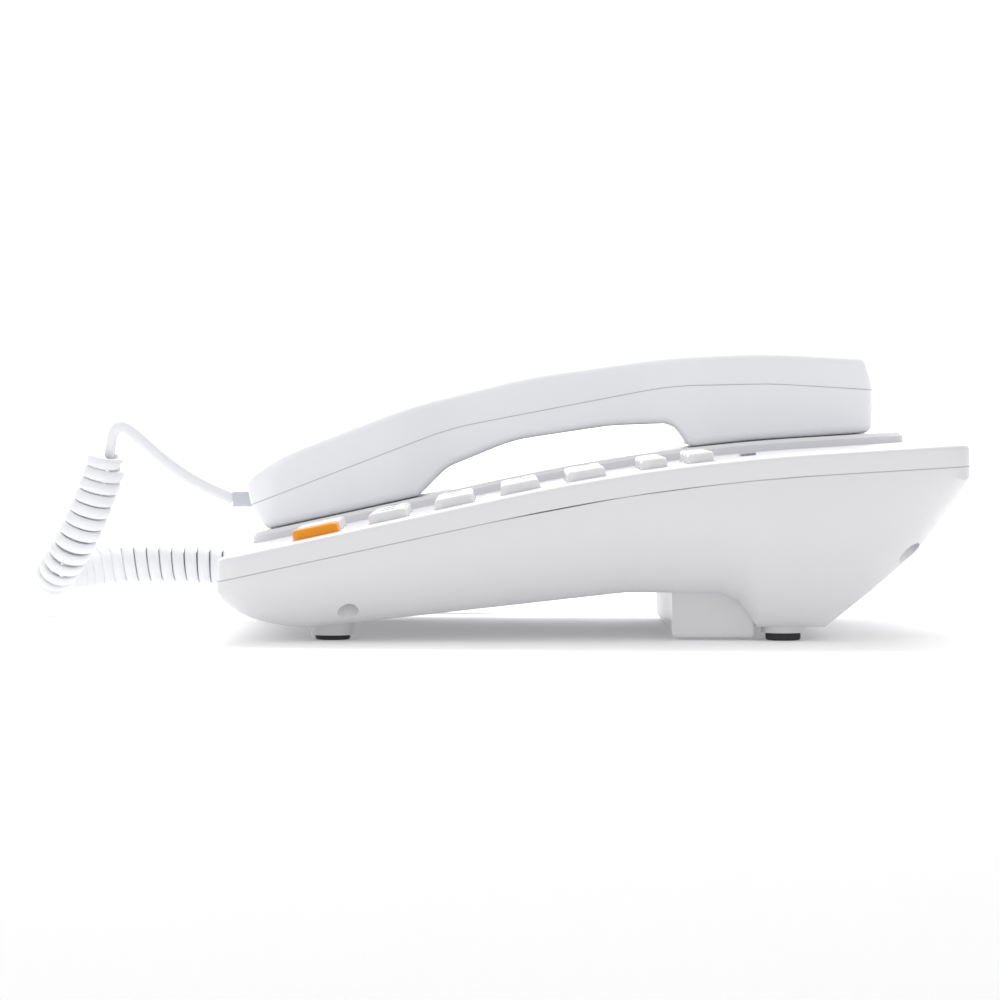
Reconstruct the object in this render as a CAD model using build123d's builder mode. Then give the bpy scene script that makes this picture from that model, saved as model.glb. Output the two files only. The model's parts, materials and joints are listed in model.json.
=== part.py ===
"""Corded desk telephone: a wedge-shaped base with a push-button keypad on its right, a handset that lies
lengthwise on its left, and a coiled cord between them. Millimetres, +Z up, +Y towards the rear, +X towards
the user's right. The origin is the middle of the base's footprint, on the surface that the feet stand on."""

import math
import os

from build123d import *

os.makedirs("parts", exist_ok=True)

# ---------------------------------------------------------------- driving dimensions
BASE_WIDTH = 180.0
BASE_LENGTH = 230.0
WALL = 2.2  # moulded wall of the base and of the handset
PLAN_CORNER = 8.0  # corner radius of the base, seen from above
BAND = 6.8  # height of the upper shell's side wall
RIM_ROUND = 1.7  # rounding of the upper shell's top edge

DECK_FRONT_Z = 25.8  # the deck's height at the front edge, at the knee and at the rear edge
DECK_KNEE = (20.9, 55.4)
DECK_REAR_Z = 61.1
DECK_RADIUS = 650.0  # the bend between the deck's steep front and flat rear

NOSE_LENGTH = 28.0  # the front curls under over this length
NOSE_LOW_Z = 4.1
NOSE_TOP_Z = 16.5
KEEL_LOW_Z = 4.2  # underside of the ridge that holds the rear feet
REAR_WALL = (15.4, 27.4)  # heights that the rear wall passes, 29 mm and 15 mm from the rear edge
SIDE_TUCK = 24.0  # how far the lower shell's sides curve in towards the underside

HANDSET_WIDTH = 53.0
HANDSET_MARGIN = 8.5  # from the handset's side to the base's side
HANDSET_X = HANDSET_MARGIN + (HANDSET_WIDTH - BASE_WIDTH) / 2  # the handset's centre plane
GRIP_WIDTH = 45.0
HANDSET_ROUND = 3.0  # rounding of the handset's top and underside
REST_GAP = 0.3  # between the resting handset and the cradle
CRADLE_MARGIN = 4.5  # the cradle's pads reach this far past the handset on each side
CRADLE_RISE = 3.4  # the cradle stands this far above the deck
PAD_DEPTH = 2.0  # ear and mouth pads reach this far into their wells
PAD_SIZE = 42.0
PAD_CLEARANCE = 1.2
WELL_DEPTH = 2.6
EAR_Y = 66.0
MOUTH_Y = -83.0

KEY_COLUMNS = (6.0, 31.0, 56.0)
DIAL_ROWS = (-63.0, -42.5, -22.0, -1.5)
FUNCTION_ROW = -85.5
MEMORY_ROWS = (19.5, 34.0)
DIAL_KEY = (17.0, 12.0)  # width and length of a key cap
FUNCTION_KEY = (17.0, 14.5)
MEMORY_KEY = (17.0, 8.0)
KEY_PROUD = 3.2
KEY_TRAVEL = 1.3
KEY_CLEARANCE = 0.4  # between a cap and its hole
FLANGE = 1.4  # thickness of the flange that keeps a key in, and how far it reaches out
KEY_STEM = 3.0
BOARD_DEPTH = 14.2  # the circuit board's top lies this far below the straight front of the deck
BOARD_THICK = 1.6
MAT_THICK = 1.2
BOARD_X = (-12.0, 73.0)
BOARD_Y = (-97.0, 45.0)

SCREW_FRONT = (80.0, -75.0)
SCREW_REAR = (76.0, 97.0)
SCREW_SEAT = 15.0  # the screw's seat lies this far below the deck
SCREW_HEAD = (5.8, 2.2)
SCREW_SHANK = (2.9, 11.0)
SCREW_HOLE = 3.4
RECESS_BORE = 6.5
BOSS = 9.6

FOOT_FRONT = (58.0, -80.5)
FOOT_REAR = (62.0, 59.3)
FOOT_BOSS = 13.5
FOOT_PAD = 10.9
FOOT_FIT = 0.15  # radial clearance of a rubber foot in its recess

CORD_WIDTH = 4.0
COIL_WIDTH = 14.0
PLUG = (7.6, 6.5, 11.5)  # width, height and inserted length of the cord's plugs
PLUG_CLEARANCE = 0.15
SOCKET_WALL = 1.2
HANDSET_EXIT = (-118.5, 41.0)  # y and z of the plug's outer end at the handset's nose
HANDSET_SOCKET = (-106.5, -94.5)  # from the socket's mouth to its closed end, along y
BASE_JACK = (5.0, 31.0)  # y and z of the handset jack in the left side wall
BASE_SOCKET = (7.0 - BASE_WIDTH / 2, 21.0 - BASE_WIDTH / 2)  # from that jack's mouth to its closed end, along x
BASE_EXIT_X = -4.0 - BASE_WIDTH / 2  # the plug's outer end at the base
LINE_JACK = (32.0, 27.0)  # x and z of the line jack in the rear wall
LINE_SOCKET = (91.0, 75.0)  # from its mouth to its closed end, along y
LINE_BODY = (8.0, 7.0)  # half the width and half the height of the line jack's housing
LINE_MOUTH = (9.7, 6.7)
HOOK_Y = 52.0
HOOK_TRAVEL = 4.0
HOOK_STEM = 5.0
HOOK_FLANGE = (9.0, 1.5)
HOOK_SPRING = 8.0
HOOK_GAP = 0.9  # between the plunger's flange and the deck when the plunger is up

half_width = BASE_WIDTH / 2
half_length = BASE_LENGTH / 2
front_slope = math.atan2(DECK_KNEE[1] - DECK_FRONT_Z, DECK_KNEE[0] + half_length)
rear_slope = math.atan2(DECK_REAR_Z - DECK_KNEE[1], half_length - DECK_KNEE[0])


# ---------------------------------------------------------------- the base's surfaces
def deck_z(y):
    """Height of the deck at y: a straight front, a round knee and a straight rear."""
    reach = DECK_RADIUS * math.tan((front_slope - rear_slope) / 2)
    start = DECK_KNEE[0] - reach * math.cos(front_slope)
    end = DECK_KNEE[0] + reach * math.cos(rear_slope)
    if y < start:
        return DECK_KNEE[1] + (y - DECK_KNEE[0]) * math.tan(front_slope)
    if y > end:
        return DECK_KNEE[1] + (y - DECK_KNEE[0]) * math.tan(rear_slope)
    centre_y = start + DECK_RADIUS * math.sin(front_slope)
    centre_z = DECK_KNEE[1] - reach * math.sin(front_slope) - DECK_RADIUS * math.cos(front_slope)
    return centre_z + math.sqrt(DECK_RADIUS**2 - (y - centre_y) ** 2)


def deck_slope(y):
    """Slope of the deck at y, in radians."""
    return math.atan((deck_z(y + 0.5) - deck_z(y - 0.5)))


def deck_plane(x, y, lift=0.0):
    """A plane that lies on the deck at (x, y), raised along the deck's own normal."""
    slope = deck_slope(y)
    normal = (0, -math.sin(slope), math.cos(slope))
    return Plane(origin=(x, y, deck_z(y)), x_dir=(1, 0, 0), z_dir=normal).offset(lift)


def box_between(low, high):
    """A plain block between two corners."""
    size = [b - a for a, b in zip(low, high)]
    middle = [(a + b) / 2 for a, b in zip(low, high)]
    return Pos(*middle) * Box(*size, mode=Mode.PRIVATE)


def deck_slab(low, high, x_range, y_range):
    """A solid between the deck's curve shifted down or up by low and by high, cut to a rectangle in plan."""
    over = 30.0
    ends = [
        (-half_length - over, DECK_FRONT_Z - over * math.tan(front_slope)),
        DECK_KNEE,
        (half_length + over, DECK_REAR_Z + over * math.tan(rear_slope)),
    ]
    with BuildPart() as slab:
        with BuildSketch(Plane.YZ.offset(x_range[0])):
            with BuildLine():
                lower = FilletPolyline(*[(y, z + low) for y, z in ends], radius=DECK_RADIUS)
                upper = FilletPolyline(*[(y, z + high) for y, z in ends], radius=DECK_RADIUS)
                Line(lower @ 0, upper @ 0)
                Line(lower @ 1, upper @ 1)
            make_face()
        extrude(amount=x_range[1] - x_range[0])
        cutter = box_between((x_range[0], y_range[0], -50), (x_range[1], y_range[1], 150))
        add(cutter, mode=Mode.INTERSECT)
    return slab.part


def plan_prism(inset, low=-5.0, high=120.0):
    """The base's outline seen from above, as a tall prism, moved in by inset."""
    with BuildPart() as prism:
        with BuildSketch(Plane.XY.offset(low)):
            RectangleRounded(BASE_WIDTH - 2 * inset, BASE_LENGTH - 2 * inset, PLAN_CORNER - inset)
        extrude(amount=high - low)
    return prism.part


def slab_block(low, high, centre, size, radius):
    """A deck slab with a rounded rectangle as its outline in plan."""
    grown = [((c - s / 2 - 5), (c + s / 2 + 5)) for c, s in zip(centre, size)]
    with BuildPart() as outline:
        with BuildSketch(Plane.XY.offset(-20)):
            with Locations(centre):
                RectangleRounded(*size, radius)
        extrude(amount=150)
    with BuildPart() as block:
        add(deck_slab(low, high, *grown))
        add(outline.part, mode=Mode.INTERSECT)
    return block.part


def underside_z(y):
    """Height of the lower shell's underside at y: nose, sloping floor, keel and sloping rear wall."""
    nose_end = -half_length + NOSE_LENGTH
    if y < nose_end:
        turn = (nose_end - y) / NOSE_LENGTH
        return NOSE_LOW_Z + (NOSE_TOP_Z - NOSE_LOW_Z) * (1 - math.sqrt(max(0.0, 1 - turn**2)))
    outline = [
        (nose_end, NOSE_LOW_Z),
        (10.0, 14.9),
        (39.0, 14.9),
        (45.0, 12.4),
        (51.0, KEEL_LOW_Z),
        (72.0, KEEL_LOW_Z),
        (half_length - 29.0, REAR_WALL[0]),
        (half_length - 15.0, REAR_WALL[1]),
        (half_length - 3.0, 43.7),
        (half_length, 51.5),
    ]
    for (y0, z0), (y1, z1) in zip(outline, outline[1:]):
        if y <= y1:
            return z0 + (z1 - z0) * (y - y0) / (y1 - y0)
    return outline[-1][1]


def lower_section(y, inset, top):
    """One cross-section of the lower shell at y: flat on top, its sides curving in to the underside."""
    low = underside_z(max(-half_length, min(half_length, y))) + inset * 1.25
    width = half_width - inset
    height = deck_z(y) - BAND + top - low
    tuck = min(SIDE_TUCK - inset / 2, 3 * height)
    with BuildSketch(Plane.XZ.offset(-y)) as section:
        with BuildLine():
            Line((-width, low + height), (width, low + height))
            EllipticalCenterArc((width - tuck, low + height), tuck, height, 270)
            Line((width - tuck, low), (-width + tuck, low))
            EllipticalCenterArc((-width + tuck, low + height), tuck, height, 180)
        make_face()
    return section.sketch.face()


def lower_block(inset, top):
    """The lower shell's outer shape, or its hollow when inset is the wall."""
    nose_end = -half_length + NOSE_LENGTH
    nose = [nose_end - NOSE_LENGTH * math.sin(math.radians(a)) for a in (90, 76, 64, 52, 40, 28, 14, 0)]
    rear = [half_length - reach for reach in (29.0, 15.0, 3.0, 0.0)]
    middle = [-60.0, -30.0, 10.0, 39.0, 45.0, 51.0, 72.0]
    limit = half_length - inset
    stations = sorted({max(-limit, min(limit, y)) for y in nose + middle + rear})
    return Solid(loft([lower_section(y, inset, top) for y in stations], ruled=True).wrapped)


# ---------------------------------------------------------------- the keys' list
digits = ["1", "2", "3", "4", "5", "6", "7", "8", "9", "star", "0", "hash"]
keys = []
for number, digit in enumerate(digits):
    keys.append((f"key_{digit}", KEY_COLUMNS[number % 3], DIAL_ROWS[3 - number // 3], DIAL_KEY))
for name, x in zip(("mute_key", "flash_key", "redial_key"), KEY_COLUMNS):
    keys.append((name, x, FUNCTION_ROW, FUNCTION_KEY))
for row, y in enumerate(MEMORY_ROWS):
    for column, x in enumerate(KEY_COLUMNS):
        keys.append((f"memory_key_{3 * row + column + 1}", x, y, MEMORY_KEY))


def key_column(x, y, size, grow, low, high, radius=2.5):
    """A rounded block standing square to the deck at a key's place."""
    with BuildPart() as column:
        with BuildSketch(deck_plane(x, y, low)):
            RectangleRounded(size[0] + 2 * grow, size[1] + 2 * grow, radius + max(grow, 0))
        extrude(amount=high - low)
    return column.part


def mirrored(x, y):
    """The same place on the right and on the left."""
    return [(x, y), (-x, y)]


screw_places = mirrored(*SCREW_FRONT) + mirrored(*SCREW_REAR)


def upright(x, y, radius, low, high):
    """A vertical cylinder at (x, y) from low to high."""
    return Pos(x, y, (low + high) / 2) * Cylinder(radius, high - low, mode=Mode.PRIVATE)


# the circuit board lies parallel to the deck's straight front
board_plane = Plane(
    origin=(0, *DECK_KNEE), x_dir=(1, 0, 0), z_dir=(0, -math.sin(front_slope), math.cos(front_slope))
).offset(-BOARD_DEPTH)
board_corners = [
    (x, y) for x in (BOARD_X[0] + 4, BOARD_X[1] - 4) for y in (BOARD_Y[0] + 3.5, BOARD_Y[1] - 3.5)
]


def deck_height(y):
    """How far the deck at y lies above the board's top, square to the board."""
    return board_plane.to_local_coords(Vector(0, y, deck_z(y))).Z


def board_pin(x, y, radius, low, high):
    """A round pin square to the board at (x, y), from low to high above the board's top."""
    foot = board_plane.to_local_coords(Vector(x, y, deck_z(y)))
    with BuildPart() as pin:
        with BuildSketch(board_plane.offset(low)):
            with Locations((foot.X, foot.Y)):
                Circle(radius)
        extrude(amount=high - low)
    return pin.part


# ---------------------------------------------------------------- upper shell of the base
lip = 1.0  # the lower shell's lip reaches this far up inside the upper shell's wall
cradle_half = HANDSET_WIDTH / 2 + CRADLE_MARGIN
cradle_x = (HANDSET_X - cradle_half, HANDSET_X + cradle_half)
cradle_y = (-half_length + 4.5, half_length - 10.0)
window_x = (HANDSET_X - 20.0, HANDSET_X + 20.0)
window_y = (-45.0, 25.0)
WINDOW_THICK = 1.2
CARD_THICK = 0.4
LAMP = (31.0, 50.0)
LAMP_SIZE = (14.0, 5.0)


def near_rim(edge):
    """Whether an edge runs along the outer top rim of the upper shell."""
    point = edge.center()
    outside = abs(point.X) > half_width - PLAN_CORNER or abs(point.Y) > half_length - PLAN_CORNER
    return outside and point.Z > deck_z(point.Y) - 0.2


def well(y, grow, depth):
    """The room for the handset's ear or mouth pad, down into the cradle."""
    with BuildPart() as room:
        with BuildSketch(deck_plane(HANDSET_X, y, CRADLE_RISE - depth)):
            RectangleRounded(PAD_SIZE + 2 * grow, PAD_SIZE + 2 * grow, 8 + grow)
        extrude(amount=depth + 4)
    return room.part


def cradle_rim(edge):
    """Whether an edge runs round the cradle's top, not across it."""
    point = edge.center()
    on_top = point.Z > deck_z(point.Y) + CRADLE_RISE - 0.2
    across = abs(point.X - HANDSET_X) < 5 and cradle_y[0] + 9 < point.Y < cradle_y[1] - 9
    return on_top and not across


cradle_centre = (HANDSET_X, (cradle_y[0] + cradle_y[1]) / 2)
cradle_size = (cradle_x[1] - cradle_x[0], cradle_y[1] - cradle_y[0])
with BuildPart() as cradle:
    add(slab_block(-WALL, CRADLE_RISE, cradle_centre, cradle_size, 7))
    chamfer([e for e in cradle.edges() if cradle_rim(e)], 1.2)

with BuildPart() as top_shell:
    add(slab_block(-BAND, 0, (0, 0), (BASE_WIDTH, BASE_LENGTH), PLAN_CORNER))
    fillet([e for e in top_shell.edges() if near_rim(e)], RIM_ROUND)
    add(cradle.part)
    hollow_size = (BASE_WIDTH - 2 * WALL, BASE_LENGTH - 2 * WALL)
    add(slab_block(-BAND - 1, -WALL, (0, 0), hollow_size, PLAN_CORNER - WALL), mode=Mode.SUBTRACT)
    for x, y in screw_places:
        add(upright(x, y, BOSS / 2 - 0.8, deck_z(y) - SCREW_SEAT + 2.6, deck_z(y) - WALL + 0.5))
    for x, y in board_corners:
        add(board_pin(x, y, 2.6, 0.3, deck_height(y) - WALL + 0.8))
    for name, x, y, size in keys:
        add(key_column(x, y, size, KEY_CLEARANCE, -BAND, 4), mode=Mode.SUBTRACT)
    for y in (EAR_Y, MOUTH_Y):
        add(well(y, PAD_CLEARANCE, WELL_DEPTH), mode=Mode.SUBTRACT)
    window_room = deck_slab(CRADLE_RISE - WINDOW_THICK - CARD_THICK - 0.1, 20, window_x, window_y)
    add(window_room, mode=Mode.SUBTRACT)
    add(key_column(*LAMP, LAMP_SIZE, 0.1, -BAND, 2, 2.0), mode=Mode.SUBTRACT)
    add(upright(HANDSET_X, HOOK_Y, HOOK_STEM / 2 + 0.2, 40, 80), mode=Mode.SUBTRACT)
    for x, y in screw_places:
        add(upright(x, y, 1.5, deck_z(y) - SCREW_SEAT, deck_z(y) - WALL - 1), mode=Mode.SUBTRACT)
    for x, y in board_corners:
        add(board_pin(x, y, 1.1, 0, 6.5), mode=Mode.SUBTRACT)
top_shell.part.label = "top_shell"
export_step(top_shell.part, "parts/top_shell.step")

# ---------------------------------------------------------------- lower shell of the base
chamber_x = (-66.0, 66.0)
chamber_y = (24.7, 50.6)
CHAMBER_LOW_Z = 0.9
rear_wall_slope = math.atan2(REAR_WALL[1] - REAR_WALL[0], 14.0)
HOOK_POST = (14.0, 10.0)
hook_top = deck_z(HOOK_Y) - WALL - HOOK_TRAVEL - HOOK_GAP - HOOK_FLANGE[1] - HOOK_SPRING
HOOK_SWITCH = (16.0, 12.0, 10.0)

jack_y = PLUG[0] / 2 + PLUG_CLEARANCE + SOCKET_WALL
jack_z = PLUG[1] / 2 + PLUG_CLEARANCE + SOCKET_WALL
SWITCH_X = -25.0
SWITCH_Y = 92.0
SWITCH_TRAVEL = 5.0
SWITCH_KNOB = (4.0, 3.4, 1.4)  # width, height and how far it stands out
switch_plane = Plane(
    origin=(SWITCH_X, SWITCH_Y, underside_z(SWITCH_Y)),
    x_dir=(1, 0, 0),
    z_dir=(0, math.sin(rear_wall_slope), -math.cos(rear_wall_slope)),
)

outer_block = lower_block(0, 0) & plan_prism(0)
inner_block = lower_block(WALL, 8) & plan_prism(WALL)
with BuildPart() as lip_ring:
    lip_size = (BASE_WIDTH - 2 * WALL - 0.2, BASE_LENGTH - 2 * WALL - 0.2)
    add(slab_block(-BAND - 3, -BAND + lip, (0, 0), lip_size, PLAN_CORNER - WALL - 0.1))
    add(plan_prism(WALL + 1.3), mode=Mode.SUBTRACT)

with BuildPart() as bottom_shell:
    add(outer_block)
    add(box_between((chamber_x[0], chamber_y[0], CHAMBER_LOW_Z), (chamber_x[1], chamber_y[1], 20)))
    bottom_edges = [e for e in bottom_shell.edges() if e.center().Z < 3.0]
    fillet(bottom_edges, 1.6)
    for x, y in mirrored(*FOOT_FRONT):
        add(upright(x, y, FOOT_BOSS / 2, 1.5, 9))
    for x, y in mirrored(*FOOT_REAR):
        add(upright(x, y, FOOT_BOSS / 2, 2.4, 9))
    add(inner_block, mode=Mode.SUBTRACT)
    chamber = box_between(
        (chamber_x[0] + WALL, chamber_y[0] + WALL, CHAMBER_LOW_Z + WALL),
        (chamber_x[1] - WALL, chamber_y[1] - WALL, 20),
    )
    add(chamber, mode=Mode.SUBTRACT)
    add(lip_ring.part)
    for x, y in screw_places:
        pillar = upright(x, y, BOSS / 2, 0, deck_z(y) - SCREW_SEAT + 2.5)
        add(pillar & outer_block)
    for x, y in mirrored(*FOOT_FRONT) + mirrored(*FOOT_REAR):
        add(upright(x, y, FOOT_BOSS / 2, underside_z(y) + 1, underside_z(y) + 4.5))
    post_low = (HANDSET_X - HOOK_POST[0] / 2, HOOK_Y - HOOK_POST[1] / 2, underside_z(HOOK_Y) + 1)
    post_high = (HANDSET_X + HOOK_POST[0] / 2, HOOK_Y + HOOK_POST[1] / 2, hook_top - HOOK_SWITCH[2])
    add(box_between(post_low, post_high) & outer_block)
    base_shelf = box_between(
        (BASE_SOCKET[0] + 1, BASE_JACK[0] - 4, 5),
        (BASE_SOCKET[1] - 1, BASE_JACK[0] + 4, BASE_JACK[1] - jack_z),
    )
    add(base_shelf & outer_block)
    shelf_low = (LINE_JACK[0] - LINE_BODY[1], LINE_SOCKET[1] + 2, 6)
    shelf_high = (LINE_JACK[0] + LINE_BODY[1], LINE_SOCKET[0] - 2, LINE_JACK[1] - LINE_BODY[1])
    add(box_between(shelf_low, shelf_high) & outer_block)
    # recesses for screws and feet
    for x, y in screw_places:
        add(upright(x, y, RECESS_BORE / 2, -5, deck_z(y) - SCREW_SEAT), mode=Mode.SUBTRACT)
        add(upright(x, y, SCREW_HOLE / 2, 0, deck_z(y)), mode=Mode.SUBTRACT)
    for x, y in mirrored(*FOOT_FRONT):
        add(upright(x, y, FOOT_PAD / 2 + FOOT_FIT, -1, 3.2), mode=Mode.SUBTRACT)
    for x, y in mirrored(*FOOT_REAR):
        add(upright(x, y, FOOT_PAD / 2 + FOOT_FIT, -1, 4.4), mode=Mode.SUBTRACT)
    # sound slots in the chamber's floor, and air slots in the sloping floor
    with BuildSketch(Plane.XY):
        with Locations(((chamber_x[0] + chamber_x[1]) / 2, (chamber_y[0] + chamber_y[1]) / 2)):
            with GridLocations(0, 4.2, 1, 5):
                SlotOverall(44, 2.0)
    extrude(amount=CHAMBER_LOW_Z + WALL + 1, mode=Mode.SUBTRACT)
    # mouths for the two jacks, and the ringer switch's slot
    base_mouth = box_between(
        (-half_width - 2, BASE_JACK[0] - jack_y - 0.1, BASE_JACK[1] - jack_z - 0.1),
        (BASE_SOCKET[0] + 3, BASE_JACK[0] + jack_y + 0.1, BASE_JACK[1] + jack_z + 0.1),
    )
    add(base_mouth, mode=Mode.SUBTRACT)
    line_mouth = box_between(
        (LINE_JACK[0] - 8.2, LINE_SOCKET[0] - 4, LINE_JACK[1] - 7.2),
        (LINE_JACK[0] + 8.2, half_length - 2, LINE_JACK[1] + 7.2),
    )
    add(line_mouth, mode=Mode.SUBTRACT)
    with BuildSketch(switch_plane.offset(2)):
        Rectangle(SWITCH_TRAVEL + SWITCH_KNOB[0] + 0.8, SWITCH_KNOB[1] + 0.6)
    extrude(amount=-WALL - 3, mode=Mode.SUBTRACT)
bottom_shell.part.label = "bottom_shell"
export_step(bottom_shell.part, "parts/bottom_shell.step")


def write(builder, name):
    """Label a finished piece and write its file."""
    builder.part.label = name
    export_step(builder.part, f"parts/{name}.step")


# ---------------------------------------------------------------- fasteners and feet of the base
with BuildPart() as housing_screws:
    for x, y in screw_places:
        seat = deck_z(y) - SCREW_SEAT
        add(upright(x, y, SCREW_HEAD[0] / 2, seat - SCREW_HEAD[1], seat))
        add(upright(x, y, SCREW_SHANK[0] / 2, seat - 0.1, seat + SCREW_SHANK[1]))
        add(upright(x, y, 1.2, seat - SCREW_HEAD[1] - 1, seat - SCREW_HEAD[1] + 1.2), mode=Mode.SUBTRACT)
write(housing_screws, "housing_screws")

for name, place, top in (("front_feet", FOOT_FRONT, 3.1), ("rear_feet", FOOT_REAR, 4.3)):
    with BuildPart() as feet:
        for x, y in mirrored(*place):
            add(upright(x, y, FOOT_PAD / 2, 0, top))
        fillet(feet.edges().filter_by(lambda e: e.center().Z < 0.1), 0.9)
    write(feet, name)

# ---------------------------------------------------------------- index card, its window and the lamp
with BuildPart() as index_window:
    add(
        deck_slab(
            CRADLE_RISE - WINDOW_THICK,
            CRADLE_RISE - 0.05,
            (window_x[0] + 0.15, window_x[1] - 0.15),
            (window_y[0] + 0.15, window_y[1] - 0.15),
        )
    )
write(index_window, "index_window")

with BuildPart() as index_card:
    add(
        deck_slab(
            CRADLE_RISE - WINDOW_THICK - CARD_THICK,
            CRADLE_RISE - WINDOW_THICK,
            (window_x[0] + 0.6, window_x[1] - 0.6),
            (window_y[0] + 0.6, window_y[1] - 0.6),
        )
    )
write(index_card, "index_card")

with BuildPart() as ring_lamp:
    add(key_column(*LAMP, LAMP_SIZE, 0, -WALL, 0.9, 2.0))
    add(key_column(*LAMP, LAMP_SIZE, 1.2, -WALL - 1.3, -WALL - 0.1, 2.0))
    add(key_column(*LAMP, LAMP_SIZE, 0, -WALL - 0.2, -WALL, 2.0))
    fillet(ring_lamp.edges().group_by(Axis.Z)[-1], 0.4)
write(ring_lamp, "ring_lamp")

# ---------------------------------------------------------------- keys, key mat and circuit board
flange_top = -WALL - 0.35
stem_end = flange_top - FLANGE - KEY_STEM
for name, x, y, size in keys:
    top_face = deck_plane(x, y, KEY_PROUD)
    with BuildPart() as key:
        add(key_column(x, y, size, 0, flange_top, KEY_PROUD))
        rim = [e for e in key.edges() if abs(top_face.to_local_coords(e.center()).Z) < 0.01]
        fillet(rim, 1.3)
        add(key_column(x, y, size, 1.0, flange_top - FLANGE, flange_top))
        add(key_column(x, y, (6, 5), 0, stem_end, flange_top - FLANGE, 1.0))
    write(key, name)

with BuildPart() as key_mat:
    with BuildSketch(board_plane):
        low = board_plane.to_local_coords(Vector(0, FUNCTION_ROW - 9, deck_z(FUNCTION_ROW - 9))).Y
        high = board_plane.to_local_coords(Vector(0, MEMORY_ROWS[-1] + 5, deck_z(MEMORY_ROWS[-1] + 5))).Y
        with Locations((KEY_COLUMNS[1], (low + high) / 2)):
            Rectangle(KEY_COLUMNS[2] - KEY_COLUMNS[0] + 16, high - low)
    extrude(amount=MAT_THICK)
    for name, x, y, size in keys:
        tip = board_plane.to_local_coords(deck_plane(x, y, stem_end - KEY_TRAVEL - 0.3).origin)
        lean = 3 * math.sin(front_slope - deck_slope(y))
        with BuildSketch(board_plane):
            with Locations((tip.X, tip.Y)):
                Circle(2.6)
        extrude(amount=tip.Z - 0.2 - lean)
write(key_mat, "key_mat")

with BuildPart() as main_board:
    with BuildSketch(board_plane):
        low = board_plane.to_local_coords(Vector(0, BOARD_Y[0], deck_z(BOARD_Y[0]))).Y
        high = board_plane.to_local_coords(Vector(0, BOARD_Y[1], deck_z(BOARD_Y[1]))).Y
        with Locations(((BOARD_X[0] + BOARD_X[1]) / 2, (low + high) / 2)):
            Rectangle(BOARD_X[1] - BOARD_X[0], high - low)
    extrude(amount=-BOARD_THICK)
    for x, y in board_corners:
        add(board_pin(x, y, 1.3, -5, 1), mode=Mode.SUBTRACT)
write(main_board, "main_board")

with BuildPart() as board_screws:
    for x, y in board_corners:
        add(board_pin(x, y, 2.2, -BOARD_THICK - 1.5, -BOARD_THICK))
        add(board_pin(x, y, 1.0, -BOARD_THICK - 0.1, 5.5))
write(board_screws, "board_screws")

# ---------------------------------------------------------------- hook switch, ringer and ballast
plunger_top = deck_z(HOOK_Y) + CRADLE_RISE + REST_GAP - PAD_DEPTH - 0.55
flange_low = hook_top + HOOK_SPRING
with BuildPart() as hook_plunger:
    add(upright(HANDSET_X, HOOK_Y, HOOK_STEM / 2, hook_top - 5, plunger_top))
    fillet(hook_plunger.edges().group_by(Axis.Z)[-1], 0.8)
    add(upright(HANDSET_X, HOOK_Y, HOOK_FLANGE[0] / 2, flange_low, flange_low + HOOK_FLANGE[1]))
write(hook_plunger, "hook_plunger")

with BuildPart() as hook_spring:
    add(upright(HANDSET_X, HOOK_Y, 4.2, hook_top, flange_low))
    add(upright(HANDSET_X, HOOK_Y, 3.0, hook_top - 1, flange_low + 1), mode=Mode.SUBTRACT)
write(hook_spring, "hook_spring")

with BuildPart() as hook_switch:
    with BuildSketch(Plane.XY.offset(hook_top - HOOK_SWITCH[2])):
        with Locations((HANDSET_X, HOOK_Y)):
            RectangleRounded(HOOK_SWITCH[0], HOOK_SWITCH[1], 1.2)
    extrude(amount=HOOK_SWITCH[2])
    add(upright(HANDSET_X, HOOK_Y, HOOK_STEM / 2 + 0.3, hook_top - 7, hook_top + 1), mode=Mode.SUBTRACT)
write(hook_switch, "hook_switch")

chamber_middle = ((chamber_x[0] + chamber_x[1]) / 2, (chamber_y[0] + chamber_y[1]) / 2)
with BuildPart() as ringer:
    add(upright(*chamber_middle, 10.0, CHAMBER_LOW_Z + WALL, CHAMBER_LOW_Z + WALL + 8))
    fillet(ringer.edges().group_by(Axis.Z)[-1], 1.0)
    ringer_low = CHAMBER_LOW_Z + WALL + 6
    add(upright(*chamber_middle, 2.0, ringer_low, ringer_low + 3), mode=Mode.SUBTRACT)
write(ringer, "ringer")

floor_slope = math.atan2(14.9 - NOSE_LOW_Z, 10.0 + half_length - NOSE_LENGTH)
ballast_plane = Plane(
    origin=(15, -40, underside_z(-40) + 1.25 * WALL + 0.15),
    x_dir=(1, 0, 0),
    z_dir=(0, -math.sin(floor_slope), math.cos(floor_slope)),
)
with BuildPart() as ballast_weight:
    with BuildSketch(ballast_plane):
        RectangleRounded(90, 44, 4)
    extrude(amount=4)
write(ballast_weight, "ballast_weight")

# ---------------------------------------------------------------- jacks and ringer switch of the base
with BuildPart() as handset_jack:
    add(
        box_between(
            (BASE_SOCKET[0], BASE_JACK[0] - jack_y, BASE_JACK[1] - jack_z),
            (BASE_SOCKET[1], BASE_JACK[0] + jack_y, BASE_JACK[1] + jack_z),
        )
    )
    cavity = box_between(
        (BASE_SOCKET[0] - 1, BASE_JACK[0] - jack_y + SOCKET_WALL, BASE_JACK[1] - jack_z + SOCKET_WALL),
        (
            BASE_SOCKET[1] - SOCKET_WALL,
            BASE_JACK[0] + jack_y - SOCKET_WALL,
            BASE_JACK[1] + jack_z - SOCKET_WALL,
        ),
    )
    add(cavity, mode=Mode.SUBTRACT)
write(handset_jack, "handset_jack")

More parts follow.
